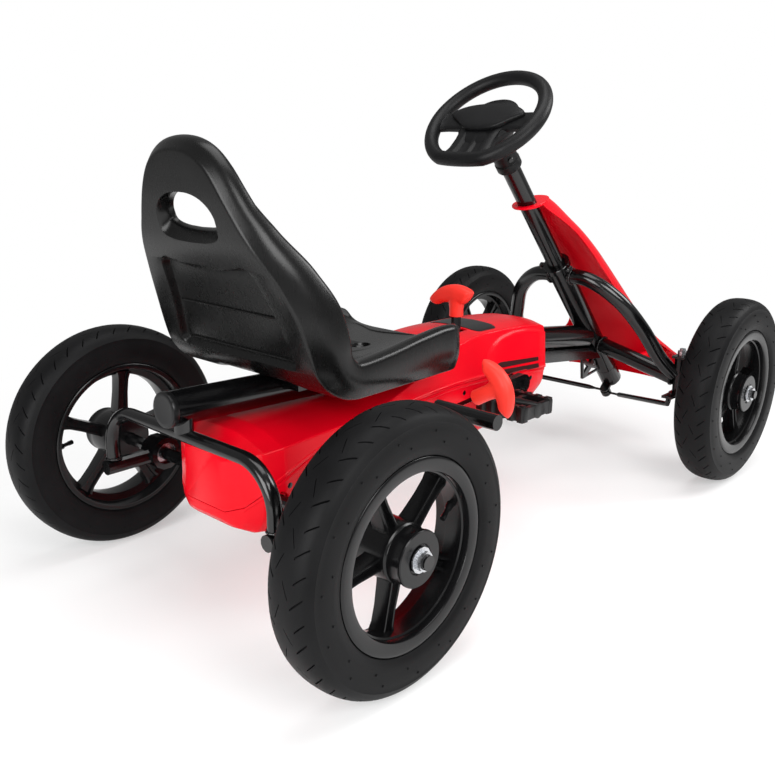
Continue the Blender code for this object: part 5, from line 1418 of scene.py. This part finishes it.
# The socket from its top down: radius beyond its neck, height
SOCKET_FLARE = [(0.007, 0.002), (0.025, -0.002), (0.0290, -0.005), (0.0295, -0.010), (0.0270, -0.0165),
                (0.017, -0.026), (0.008, -0.035), (0.0015, -0.042), (0.0003, -0.052), (0.0, -0.078),
                (-0.0002, SOCKET_END + 0.014), (0.0012, SOCKET_END + 0.013), (0.0012, SOCKET_END + 0.0018),
                (0.0002, SOCKET_END)]
# Sections of the arms and of the stem's legs, in half widths and shares of the height; right half only
ARM_HALF = [(0.9, 0.0), (1.0, 0.15), (1.0, 0.72), (0.90, 0.92), (0.70, 1.0)]
STEM_HALF = [(1.0, 0.0), (1.0, 0.82), (0.92, 1.0), (0.62, 1.0), (0.50, 0.58), (0.16, 0.52), (0.06, 0.78)]
# Rows of an arm: distance out, drop, half width, low, high; rows of the stem: drop, half width, low, high
ARM_ROWS = [(0.0262, 0.001, 0.019, -0.008, 0.001), (0.045, 0.002, 0.0180, -0.008, 0.0017),
            (0.063, 0.003, 0.0165, -0.008, 0.0017), (0.076, 0.004, 0.0175, -0.007, 0.002),
            (0.0855, 0.0045, 0.0215, -0.005, 0.004)]
ARM_SLANT = 0.05
STEM_ROWS = [(0.0180, 0.036, -0.009, 0.0017), (0.040, 0.0340, -0.009, 0.0005), (0.058, 0.0350, -0.009, 0.0),
             (0.070, 0.0385, -0.008, 0.001), (0.0785, 0.0440, -0.006, 0.003)]


def ring_point(turn):
    """A place on the ring's middle line, which is flattened at its foot."""
    y = RING_RADIUS * math.sin(turn)
    if y < -RING_FOOT:
        y = -RING_FOOT + (y + RING_FOOT) * 0.3
    return WHEEL_PLANE @ Vector((RING_RADIUS * math.cos(turn), y, 0.0))


def grip_swell(turn):
    """The grip is a little fuller where the side arms meet it."""
    return 1.0 + 0.07 * (math.exp(-(math.sin(turn) / 0.45) ** 2))


def arm_ring(middle, across, half, low, high, shape):
    """One ring of an arm: a section across the arm, between two heights over the wheel's plane."""
    across = Vector(across).normalized()
    return [WHEEL_PLANE @ (Vector((*middle, low + (high - low) * b)) + across * a * half) for a, b in shape]


def wheel_ring():
    """The foam ring, carried round and joined to itself."""
    turns = [2 * math.pi * k / RING_STEPS for k in range(RING_STEPS)]
    bm = bmesh.new()
    carry(bm, [ring_point(t) for t in turns], oval(RING_GRIP, RING_GRIP, 28), -DOWN_COLUMN, closed=True,
          taper=[grip_swell(t) for t in turns])
    return to_object("look_steering_wheel", bm, WHEEL_BLACK)


def wheel_socket():
    """The flared socket, bored for the column."""
    outside = [(SOCKET + beyond, height) for beyond, height in SOCKET_FLARE]
    bore = [(SOCKET_BORE, SOCKET_END), (SOCKET_BORE, -0.0122), (0.0, -0.0122)]
    bm = bmesh.new()
    turn_profile(bm, [(0.0, 0.002), *outside, *bore], 64, WHEEL_PLANE)
    return to_object("wheel_socket", bm, WHEEL_BLACK)


def wheel_arms():
    """Both side arms, each with a slightly crowned top."""
    section = [*ARM_HALF, (0.0, 1.06), *((-a, b) for a, b in reversed(ARM_HALF))]
    bm = bmesh.new()
    for side in (1, -1):
        skin(bm, [arm_ring((side * out, -drop), (-ARM_SLANT * side, 1.0, 0.0), half, low, high, section)
                  for out, drop, half, low, high in ARM_ROWS])
    return to_object("side_arms", bm, WHEEL_BLACK)


def wheel_stem():
    """The stem down to the foot: two legs with a rib in the sunken middle."""
    section = STEM_HALF + [(-a, b) for a, b in reversed(STEM_HALF)]
    bm = bmesh.new()
    skin(bm, [arm_ring((0.0, -drop), (1.0, 0.0, 0.0), half, low, high, section)
              for drop, half, low, high in STEM_ROWS])
    return to_object("lower_stem", bm, WHEEL_BLACK)


def make_steering_wheel():
    """All parts of the wheel as one moulding."""
    wheel = wheel_ring()
    for part in (wheel_socket(), wheel_arms(), wheel_stem()):
        boolean(wheel, part)
    wear(soften(wheel, 0.0011, 36.0, 45.0), "steering", "black_plastic", "steering_wheel")


def make_pad():
    """The crowned hub pad, wide enough to run into both side arms."""
    top = [(-0.064, 0.0055), (-0.042, 0.0200), (0.0, 0.0250), (0.042, 0.0200)]
    low = [(0.064, 0.0055), (0.046, -0.0100), (0.020, -0.0255), (-0.020, -0.0255), (-0.046, -0.0100)]
    rings = []
    for z, grow in ((0.0024, 1.0), (0.0050, 1.0), (0.0066, 0.985), (0.0078, 0.95), (0.0087, 0.88),
                    (0.0094, 0.76), (0.0099, 0.58), (0.0102, 0.34)):
        ring = rounded_ring([(x * grow, y * grow, 0.0) for x, y in top + low], 6)
        rings.append([WHEEL_PLANE @ Vector((p.x, p.y, z)) for p in ring])
    bm = bmesh.new()
    skin(bm, rings)
    wear(to_object("look_steering_pad", bm, WHEEL_BLACK), "steering", "black_plastic", "steering_pad")


make_steering_wheel()
make_pad()
screw = bmesh.new()
screw_way = (RIGHT * 0.86 - ACROSS_COLUMN * 0.5).normalized()
pan_screw(screw, on_column(0.0700) + screw_way * (SOCKET + 0.0004), screw_way, 0.0045)
wear(to_object("look_socket_screw", screw, PAINT, 30.0), "steering", "black_paint")
print("steering wheel made")

# %% [markdown]
# The tubes of the frame carry long clean highlights, so each is drawn again as a smooth round tube along the
# same line. A tube is bent cold over a former, so its bends are round curves, and its open ends are dressed
# with a small chamfer.

# %% Frame tubes
TUBE_SIDES = 40
BACKBONE_RADIUS = 0.020
BACKBONE_TIP = 0.3900
BACKBONE_EASE = 0.03
PLUG = [(0.0, -0.004), (0.0195, -0.004), (0.0206, 0.0), (0.0206, 0.0040), (0.0200, 0.0054), (0.0188, 0.0060),
        (0.0150, 0.0057), (0.0, 0.0052)]
ARCH_TOP = on_column(0.339)
ARCH_RADIUS = 0.0125
SLEEVE_Y = 0.180
SLEEVE_Z = 0.162
BEAM_RADIUS = 0.014


def tube(name, points, radius, body, *replaced):
    """A round tube through a row of points, with its ends closed and chamfered."""
    points = [Vector(p) for p in points]
    first = (points[1] - points[0]).normalized()
    last = (points[-1] - points[-2]).normalized()
    chamfer = min(0.0012, radius * 0.15)
    path = [points[0], points[0] + first * chamfer, *points[1:-1], points[-1] - last * chamfer, points[-1]]
    taper = [1.0 - chamfer / radius] + [1.0] * (len(path) - 2) + [1.0 - chamfer / radius]
    side = first.cross(UP) if abs(first.z) < 0.95 else LEFT
    flat = LEFT if abs(first.y) < 0.3 else side.cross(first)
    bm = bmesh.new()
    carry(bm, path, oval(radius, radius, TUBE_SIDES), flat, taper=taper)
    return wear(to_object(name, bm, PAINT), body, "black_paint", *replaced)


def bend_points(centre, start, end, radius, steps):
    """Points of a quarter bend, from one direction to another."""
    turns = [math.pi / 2 * k / steps for k in range(steps + 1)]
    return [Vector(centre) + radius * (start * math.cos(t) + end * math.sin(t)) for t in turns]


def backbone_points():
    """The backbone's line, with a round bend."""
    rear, bend, front = backbone_line(-0.0002)
    back = (rear - bend).normalized()
    ahead = (front - bend).normalized()
    tip = bend + ahead * ((BACKBONE_TIP - bend.x) / ahead.x)
    curve = [bend + back * BACKBONE_EASE * (1 - t) ** 2 + ahead * BACKBONE_EASE * t ** 2
             for t in (k / 8 for k in range(9))]
    return [rear, *curve, tip]


def arch_points(y):
    """One half of the front arch, from the head tube out and down to the kingpin sleeve on its side."""
    top = ARCH_TOP
    return smooth_path([top, (top.x + 0.003, y * 0.29, top.z - 0.004),
                        (top.x + 0.026, y * 0.54, top.z - 0.036), (top.x + 0.058, y * 0.70, top.z - 0.083),
                        (FRONT_X - 0.022, y * 0.83, SLEEVE_Z + 0.028),
                        (FRONT_X - 0.004, y * 0.95, SLEEVE_Z - 0.002)], 10)


tube("look_backbone", backbone_points(), BACKBONE_RADIUS, "frame", "backbone_tube")
plug = bmesh.new()
turn_profile(plug, PLUG, 48, axis_frame(BACKBONE_REAR, BACKBONE_REAR - BACKBONE_BEND, UP))
wear(to_object("look_backbone_plug", plug, PEDAL_BLACK), "frame", "black_plastic", "backbone_plug")
for side, name in ((1, "left"), (-1, "right")):
    sleeve_y = side * SLEEVE_Y
    tube("look_front_arch_" + name, arch_points(sleeve_y), ARCH_RADIUS, "frame", "front_arch_" + name)
    beam_end = Vector((FRONT_X, sleeve_y * 0.945, WHEEL_Z + 0.0030))
    tube("look_axle_beam_" + name, [BEAM_MIDDLE, beam_end], BEAM_RADIUS, "frame", "axle_beam_" + name)
print("backbone, arch and beam drawn")

# %% [markdown]
# The rear hoop is a flattened tube that stands over the axle on both carriers. A section carried along two
# quarter bends gives it, and a small saddle is joined on where the backbone rests.

# %% Rear hoop
HOOP_X = -0.475
HOOP_Y = 0.155
HOOP_LOW = 0.1598
HOOP_TOP = 0.228
HOOP_BEND = 0.050
HOOP_HALF = (0.009, 0.0075)
# Rows of the saddle: height, half width
SADDLE_ROWS = [(0.226, 0.020), (0.232, 0.017), (0.250, 0.0175), (0.2586, 0.0170)]


def make_hoop():
    """The flattened tube over the axle, joined to its saddle."""
    bend_y, bend_z = HOOP_Y - HOOP_BEND, HOOP_TOP - HOOP_BEND
    path = [Vector((HOOP_X, HOOP_Y, HOOP_LOW))]
    path += bend_points((HOOP_X, bend_y, bend_z), LEFT, UP, HOOP_BEND, 14)
    path += bend_points((HOOP_X, -bend_y, bend_z), UP, RIGHT, HOOP_BEND, 14)
    path += [Vector((HOOP_X, -HOOP_Y, HOOP_LOW))]
    bm = bmesh.new()
    carry(bm, path, oval(*HOOP_HALF, TUBE_SIDES), FORWARD)
    hoop = to_object("look_rear_hoop", bm, PAINT)
    bm = bmesh.new()
    skin(bm, [[Vector((HOOP_X + a, b, z)) for a, b in oval(HOOP_HALF[0], wide, 32)]
              for z, wide in SADDLE_ROWS])
    boolean(hoop, to_object("saddle", bm, PAINT))
    wear(hoop, "frame", "black_paint", "rear_hoop")


make_hoop()
print("rear hoop drawn")

# %% [markdown]
# The steering column and its head tube are two plain tubes, one turning in the other. The head tube has a
# collar at its top, and a clamp with two ears and bolts holds the arch to it. Weld beads run round the
# joints, with the slow ripple that a hand-held torch leaves.

# %% Steering tubes and welds
HEAD_BORE = 0.0147
HEAD_TUBE = [(HEAD_BORE, 0.0), (0.0217, 0.0), (0.0225, 0.0008), (0.0225, 0.0095), (0.0215, 0.0108),
             (0.0195, 0.0122), (0.0195, 0.2882), (0.0187, 0.2890), (HEAD_BORE, 0.2890)]
RIPPLES = 14
BEAD = 0.0020
THIN_BEAD = 0.0016
EAR = [(-0.005, -0.0046, 0.001), (0.0050, -0.0046, 0.004), (0.0050, 0.0046, 0.004), (-0.005, 0.0046, 0.001)]
EAR_HALF = 0.0025

tube("look_steering_column", [on_column(0.0125), on_column(0.6475)], 0.0143, "steering", "steering_column")
head = bmesh.new()
turn_profile(head, HEAD_TUBE, 56, axis_frame(on_column(0.309), DOWN_COLUMN, LEFT), ring=True)
wear(to_object("look_head_tube", head, PAINT), "frame", "black_paint", "head_tube")


def weld_bead(bm, centre, axis, radius, bead, ripples):
    """A rippled ring of weld metal round a tube."""
    matrix = axis_frame(centre, axis)
    count = ripples * 6
    turns = [2 * math.pi * k / count for k in range(count)]
    path = [matrix @ Vector((radius * math.cos(t), radius * math.sin(t), 0.0)) for t in turns]
    carry(bm, path, oval(bead, bead, 10), Vector(axis).normalized(), closed=True,
          taper=[1.0 + 0.16 * math.sin(ripples * t) for t in turns])


welds = bmesh.new()
clamp = bmesh.new()
for side in (1, -1):
    arch_way = Vector((0.003, side * SLEEVE_Y * 0.29, -0.004)).normalized()
    weld_bead(welds, ARCH_TOP + arch_way * 0.0205, arch_way, 0.0131, BEAD, RIPPLES)
    sleeve = Vector((BEAM_END.x, side * BEAM_END.y, BEAM_END.z))
    beam_way = (sleeve - BEAM_MIDDLE).normalized()
    weld_bead(welds, BEAM_MIDDLE + beam_way * 0.0205, beam_way, 0.0146, BEAD, RIPPLES)
    weld_bead(welds, sleeve - beam_way * 0.0140, beam_way, 0.0143, THIN_BEAD, RIPPLES)
    weld_bead(welds, Vector((HOOP_X, side * HOOP_Y, HOOP_LOW + 0.0008)), UP, 0.0088, THIN_BEAD, 10)
    ear = on_column(0.3140) + LEFT * side * 0.0262 - ACROSS_COLUMN * 0.004
    matrix = axis_frame(ear, ACROSS_COLUMN, LEFT * side)
    outline = soft_ring(EAR, 6)
    skin(clamp, [[matrix @ Vector((p.x, p.y, z)) for p in outline] for z in (-EAR_HALF, EAR_HALF)])
    hex_bolt(clamp, ear - ACROSS_COLUMN * 0.0024, -ACROSS_COLUMN, 0.0034, 0.0040)
wear(to_object("look_weld_beads", welds, PAINT, 60.0), "frame", "black_paint")
wear(to_object("look_head_clamp", clamp, PAINT, 30.0), "frame", "black_paint")
print("steering tubes, welds and clamp drawn")

# %% [markdown]
# A pedal is an open moulding: a barrel on the spindle, three plates across it, and a toothed rail in front
# and behind with a small stud on every tooth, above and below. Each part is a plain shape, and a loop places
# what repeats, since a pedal has only a few of each.

# %% Pedals
PEDAL_X = 0.037
PEDAL_Y = 0.040
PEDAL_Z = 0.012
BARREL_RADIUS = 0.0108
PLATE_PLACES = (-0.90, 0.0, 0.90)
PLATE_HALF = Vector((PEDAL_X - 0.003, 0.0036, PEDAL_Z - 0.0035))
TEETH = 5
TOOTH = 2 * PEDAL_Y / TEETH
TOOTH_DEEP = 0.0045
RAIL_DEEP = 0.0115
RAIL_Z = PEDAL_Z - 0.0015
# One tooth of a rail: share of its pitch, and whether the place stands out
TOOTH_STEPS = ((0.02, False), (0.20, True), (0.62, True), (0.80, False))
STUD_HALF = Vector((0.0034, 0.0032, 0.0015))
STUD_PLACE = 0.80
SPINDLE_SPACE = 0.0063


def pedal_rail(middle, end):
    """A toothed rail in front of the barrel, or behind it."""
    root = PEDAL_X - TOOTH_DEEP
    outline = []
    for k in range(TEETH):
        outline += [(TOOTH * (k + share) - PEDAL_Y, PEDAL_X if out else root) for share, out in TOOTH_STEPS]
    outline += [(PEDAL_Y, root), (PEDAL_Y, PEDAL_X - RAIL_DEEP), (-PEDAL_Y, PEDAL_X - RAIL_DEEP)]
    bm = bmesh.new()
    skin(bm, [[middle + Vector((end * x, y, z)) for y, x in outline] for z in (-RAIL_Z, RAIL_Z)])
    return to_object("pedal_rail", bm, PEDAL_BLACK)


def make_pedal(name):
    """All parts of a pedal as one moulding, bored from its inner end for the spindle."""
    middle = middle_of(name)
    inward = RIGHT if middle.y > 0 else LEFT
    bm = bmesh.new()
    rod_space(bm, middle - LEFT * PEDAL_Y, middle + LEFT * PEDAL_Y, BARREL_RADIUS)
    pedal = to_object("look_" + name, bm, PEDAL_BLACK)
    bm = bmesh.new()
    for place in PLATE_PLACES:
        centre = middle + LEFT * PEDAL_Y * place
        box_shape(bm, centre - PLATE_HALF, centre + PLATE_HALF)
    boolean(pedal, to_object("pedal_plates", bm, PEDAL_BLACK))
    for end in (1, -1):
        boolean(pedal, pedal_rail(middle, end))
    bm = bmesh.new()
    for end in (STUD_PLACE, -STUD_PLACE):
        for k in range(TEETH):
            for way in (1, -1):
                y = TOOTH * (k + 0.22) - PEDAL_Y + STUD_HALF.y
                centre = middle + Vector((end * PEDAL_X, y, way * RAIL_Z))
                box_shape(bm, centre - STUD_HALF, centre + STUD_HALF)
    boolean(pedal, to_object("pedal_studs", bm, PEDAL_BLACK))
    bm = bmesh.new()
    rod_space(bm, middle + inward * 0.06, middle - inward * 0.037, SPINDLE_SPACE)
    boolean(pedal, to_object("spindle_space", bm, PEDAL_BLACK), "DIFFERENCE")
    wear(soften(pedal, 0.0007, 50.0), name, "black_plastic", name)


for pedal_name in ("pedal_right", "pedal_left"):
    make_pedal(pedal_name)
print("pedals made")

# %% [markdown]
# Both levers end in the same kind of red grip: a broad crescent with blunt, rounded tips, on a flared neck
# whose lower end is a sleeve over the flat lever. The crescent is a squarish oval carried round an arc, deep
# in its middle and thin at its tips; the neck is skinned into it, and the lever's space is cut out last.

# %% Grips
GRIP_MIDDLE = 0.0265
GRIP_TIP = 0.0160
GRIP_THICK = 0.0105
GRIP_STEPS = 56
TIP_SHARE = 0.10
SQUARISH = 0.75
# The neck starts this far below the crescent's top. Rows: distance up from there, half width, half thickness
NECK_TOP = 0.0455
NECK_ROWS = [(0.010, 0.0100, 0.0098), (0.018, 0.0118, 0.0098), (0.025, 0.0160, 0.0094),
             (0.031, 0.0215, 0.0084), (0.035, 0.0240, 0.0070)]
LEVER_LENGTH = 0.068
LEVER_SPACE = (0.0082, 0.0027)


def squarish(value):
    """A cosine or sine drawn out toward a square's side."""
    return math.copysign(abs(value) ** SQUARISH, value)


def crescent(name, centre, out, across, arc, spread_low, spread_high):
    """The crescent, from one blunt tip to the other."""
    normal = out.cross(across)
    rings = []
    for k in range(GRIP_STEPS + 1):
        t = k / GRIP_STEPS
        turn = math.radians(spread_low + (spread_high - spread_low) * t)
        away = abs(turn) / math.radians(max(-spread_low, spread_high))
        from_tip = min(t, 1.0 - t) / TIP_SHARE
        blunt = math.sqrt(max(0.015, 1.0 - max(0.0, 1.0 - from_tip) ** 2))
        swell = math.cos(math.pi / 2 * min(away, 1.0)) ** 1.3
        deep = (GRIP_TIP + (GRIP_MIDDLE - GRIP_TIP) * swell) * blunt
        thick = GRIP_THICK * (1.0 - 0.22 * away) * blunt
        radial = out * math.cos(turn) + across * math.sin(turn)
        middle = centre + radial * (arc - deep / 2 - 0.001 * (1.0 - blunt))
        rings.append([middle + radial * deep / 2 * squarish(a) + normal * thick * squarish(b)
                      for a, b in oval(1.0, 1.0, 32)])
    bm = bmesh.new()
    skin(bm, rings)
    return to_object(name, bm, GRIP_RED)


def make_grip(lever, root, out, across, arc, spread, sleeve, reach):
    """Crescent, neck and sleeve on a lever. Lengths run out along the lever from its root."""
    centre = root + out * (LEVER_LENGTH + reach - arc)
    grip = crescent("look_" + lever + "_grip", centre, out, across, arc, *spread)
    normal = out.cross(across)
    start = LEVER_LENGTH - sleeve
    foot = LEVER_LENGTH + reach - NECK_TOP
    neck = [(start, 0.0095, 0.0095), (start + 0.001, 0.0102, 0.0102)]
    neck += [(foot + along, wide, deep) for along, wide, deep in NECK_ROWS]
    bm = bmesh.new()
    skin(bm, [[root + out * along + across * a + normal * b for a, b in oval(wide, deep, 40)]
              for along, wide, deep in neck])
    boolean(grip, to_object("neck", bm, GRIP_RED))
    bm = bmesh.new()
    wide, thick = FORWARD * LEVER_SPACE[0], out.cross(FORWARD) * LEVER_SPACE[1]
    corners = [-wide - thick, wide - thick, wide + thick, thick - wide]
    skin(bm, [[root + out * along + corner for corner in corners] for along in (0.0, LEVER_LENGTH + 0.0003)])
    boolean(grip, to_object("lever_space", bm, GRIP_RED), "DIFFERENCE")
    wear(soften(grip, 0.0012, 30.0, 50.0), lever, "red_plastic", lever + "_grip")


BRAKE_LEAN = math.radians(30.0)
BRAKE_OUT = Vector((0.0, -math.cos(BRAKE_LEAN), math.sin(BRAKE_LEAN)))
BRAKE_ROOT = BRAKE_PIN + RIGHT * 0.103 + UP * 0.0092
SHIFT_ROOT = Vector((LEVER.x, LEVER.y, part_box("shift_lever")[1].z - LEVER_LENGTH))
make_grip("brake", BRAKE_ROOT, BRAKE_OUT, BRAKE_OUT.cross(FORWARD), arc=0.0475, spread=(-58, 60),
          sleeve=0.013, reach=0.0455)
make_grip("shift", SHIFT_ROOT, UP, LEFT, arc=0.0580, spread=(-31, 58), sleeve=0.008, reach=0.0375)
print("grips made")

# %% [markdown]
# A soft studio: a pale floor that runs back without an edge, one large lamp overhead, a key lamp to the
# right, a smaller one at the front and a broad fill from behind. Far from the kart the floor fades to plain
# white for the camera, as the world does, so the kart stands on its own soft shadow.

# %% Floor, light and camera
FLOOR_SIZE = 30.0
FLOOR_PATCH_MM = 333.0
# The floor is plain up to the first distance and white from the second; under the kart it is lifted this much
FLOOR_PLAIN = 0.42
FLOOR_WHITE = 1.20
FLOOR_LIFT = 0.42
WHITE = (1.0, 1.0, 1.0, 1.0)
WORLD_LIGHT = 0.30


def pale_floor():
    """The floor, which fades to white with the distance from the kart."""
    bm = bmesh.new()
    bmesh.ops.create_grid(bm, x_segments=2, y_segments=2, size=FLOOR_SIZE)
    material, tree, shader, place = new_material("pale_studio_floor")
    dust = add(tree, "ShaderNodeTexNoise", {"Vector": place, "Scale": per_metre(FLOOR_PATCH_MM),
                                            "Detail": 2.0})
    colour = shade_between(tree, dust.outputs["Fac"], "#F9F9F9", "#FCFCFC")
    tree.links.new(colour, shader.inputs["Base Color"])
    shader.inputs["Roughness"].default_value = 0.9
    shader.inputs["Specular IOR Level"].default_value = 0.0
    far = add(tree, "ShaderNodeVectorMath", {0: place}, operation="LENGTH")
    fade = add(tree, "ShaderNodeMapRange", {"Value": far.outputs["Value"], "From Min": FLOOR_PLAIN,
                                            "From Max": FLOOR_WHITE, "To Min": FLOOR_LIFT},
               interpolation_type="SMOOTHSTEP")
    ray = add(tree, "ShaderNodeLightPath")
    seen = add(tree, "ShaderNodeMath", {0: fade.outputs["Result"], 1: ray.outputs["Is Camera Ray"]},
               operation="MULTIPLY")
    white = add(tree, "ShaderNodeEmission", {"Color": WHITE, "Strength": 1.0})
    both = add(tree, "ShaderNodeMixShader", {0: seen.outputs[0], 1: shader.outputs[0], 2: white.outputs[0]})
    tree.links.new(both.outputs[0], tree.nodes["Material Output"].inputs["Surface"])
    to_object("studio_floor", bm, material)


def soft_lamp(name, place, aim, size, power):
    """A square lamp at a place, turned to its aim."""
    data = bpy.data.lights.new(name, "AREA")
    data.energy = power
    data.size = size
    lamp = bpy.data.objects.new(name, data)
    lamp.location = place
    lamp.rotation_mode = "QUATERNION"
    lamp.rotation_quaternion = (Vector(aim) - Vector(place)).to_track_quat("-Z", "Y")
    bpy.context.scene.collection.objects.link(lamp)


def white_world():
    """Air that is white to the camera and gives the kart a weaker, even light."""
    world = bpy.data.worlds.new("studio_air")
    bpy.context.scene.world = world
    world.use_nodes = True
    tree = world.node_tree
    ray = add(tree, "ShaderNodeLightPath")
    seen = add(tree, "ShaderNodeMath", {0: ray.outputs["Is Camera Ray"],
                                        1: ray.outputs["Is Transmission Ray"]}, operation="MAXIMUM")
    back = tree.nodes["Background"]
    back.inputs["Color"].default_value = WHITE
    tree.links.new(spread(tree, seen.outputs[0], WORLD_LIGHT, 1.0), back.inputs["Strength"])


def photo_camera():
    """The camera that the picture was fitted with: place, view and upright, on a 36 mm sensor."""
    view = Vector((0.70814, 0.65130, -0.27268)).normalized()
    right = Vector((0.67847, -0.73459, 0.00739)).normalized()
    up = right.cross(view).normalized()
    data = bpy.data.cameras.new("studio_camera")
    data.sensor_width = 36.0
    data.lens = 40.898
    data.clip_start = 0.05
    camera = bpy.data.objects.new("studio_camera", data)
    turn = Matrix((right, up, -view)).transposed().to_4x4()
    camera.matrix_world = Matrix.Translation((-1.00673, -0.79859, 0.54858)) @ turn
    bpy.context.scene.collection.objects.link(camera)
    bpy.context.scene.camera = camera


pale_floor()
white_world()
soft_lamp("overhead", (0.0, -0.2, 2.3), (0.0, 0.0, 0.2), 1.6, 25.0)
soft_lamp("key_at_right", (-0.7, -2.1, 1.5), (0.0, 0.0, 0.25), 1.1, 32.0)
soft_lamp("front_box", (1.5, -1.15, 1.55), (-0.2, 0.0, 0.30), 0.9, 22.0)
soft_lamp("fill_behind", (-2.1, -0.6, 0.9), (0.0, 0.0, 0.28), 1.2, 32.0)
photo_camera()
bpy.context.scene.view_settings.view_transform = "Standard"
print("studio set")
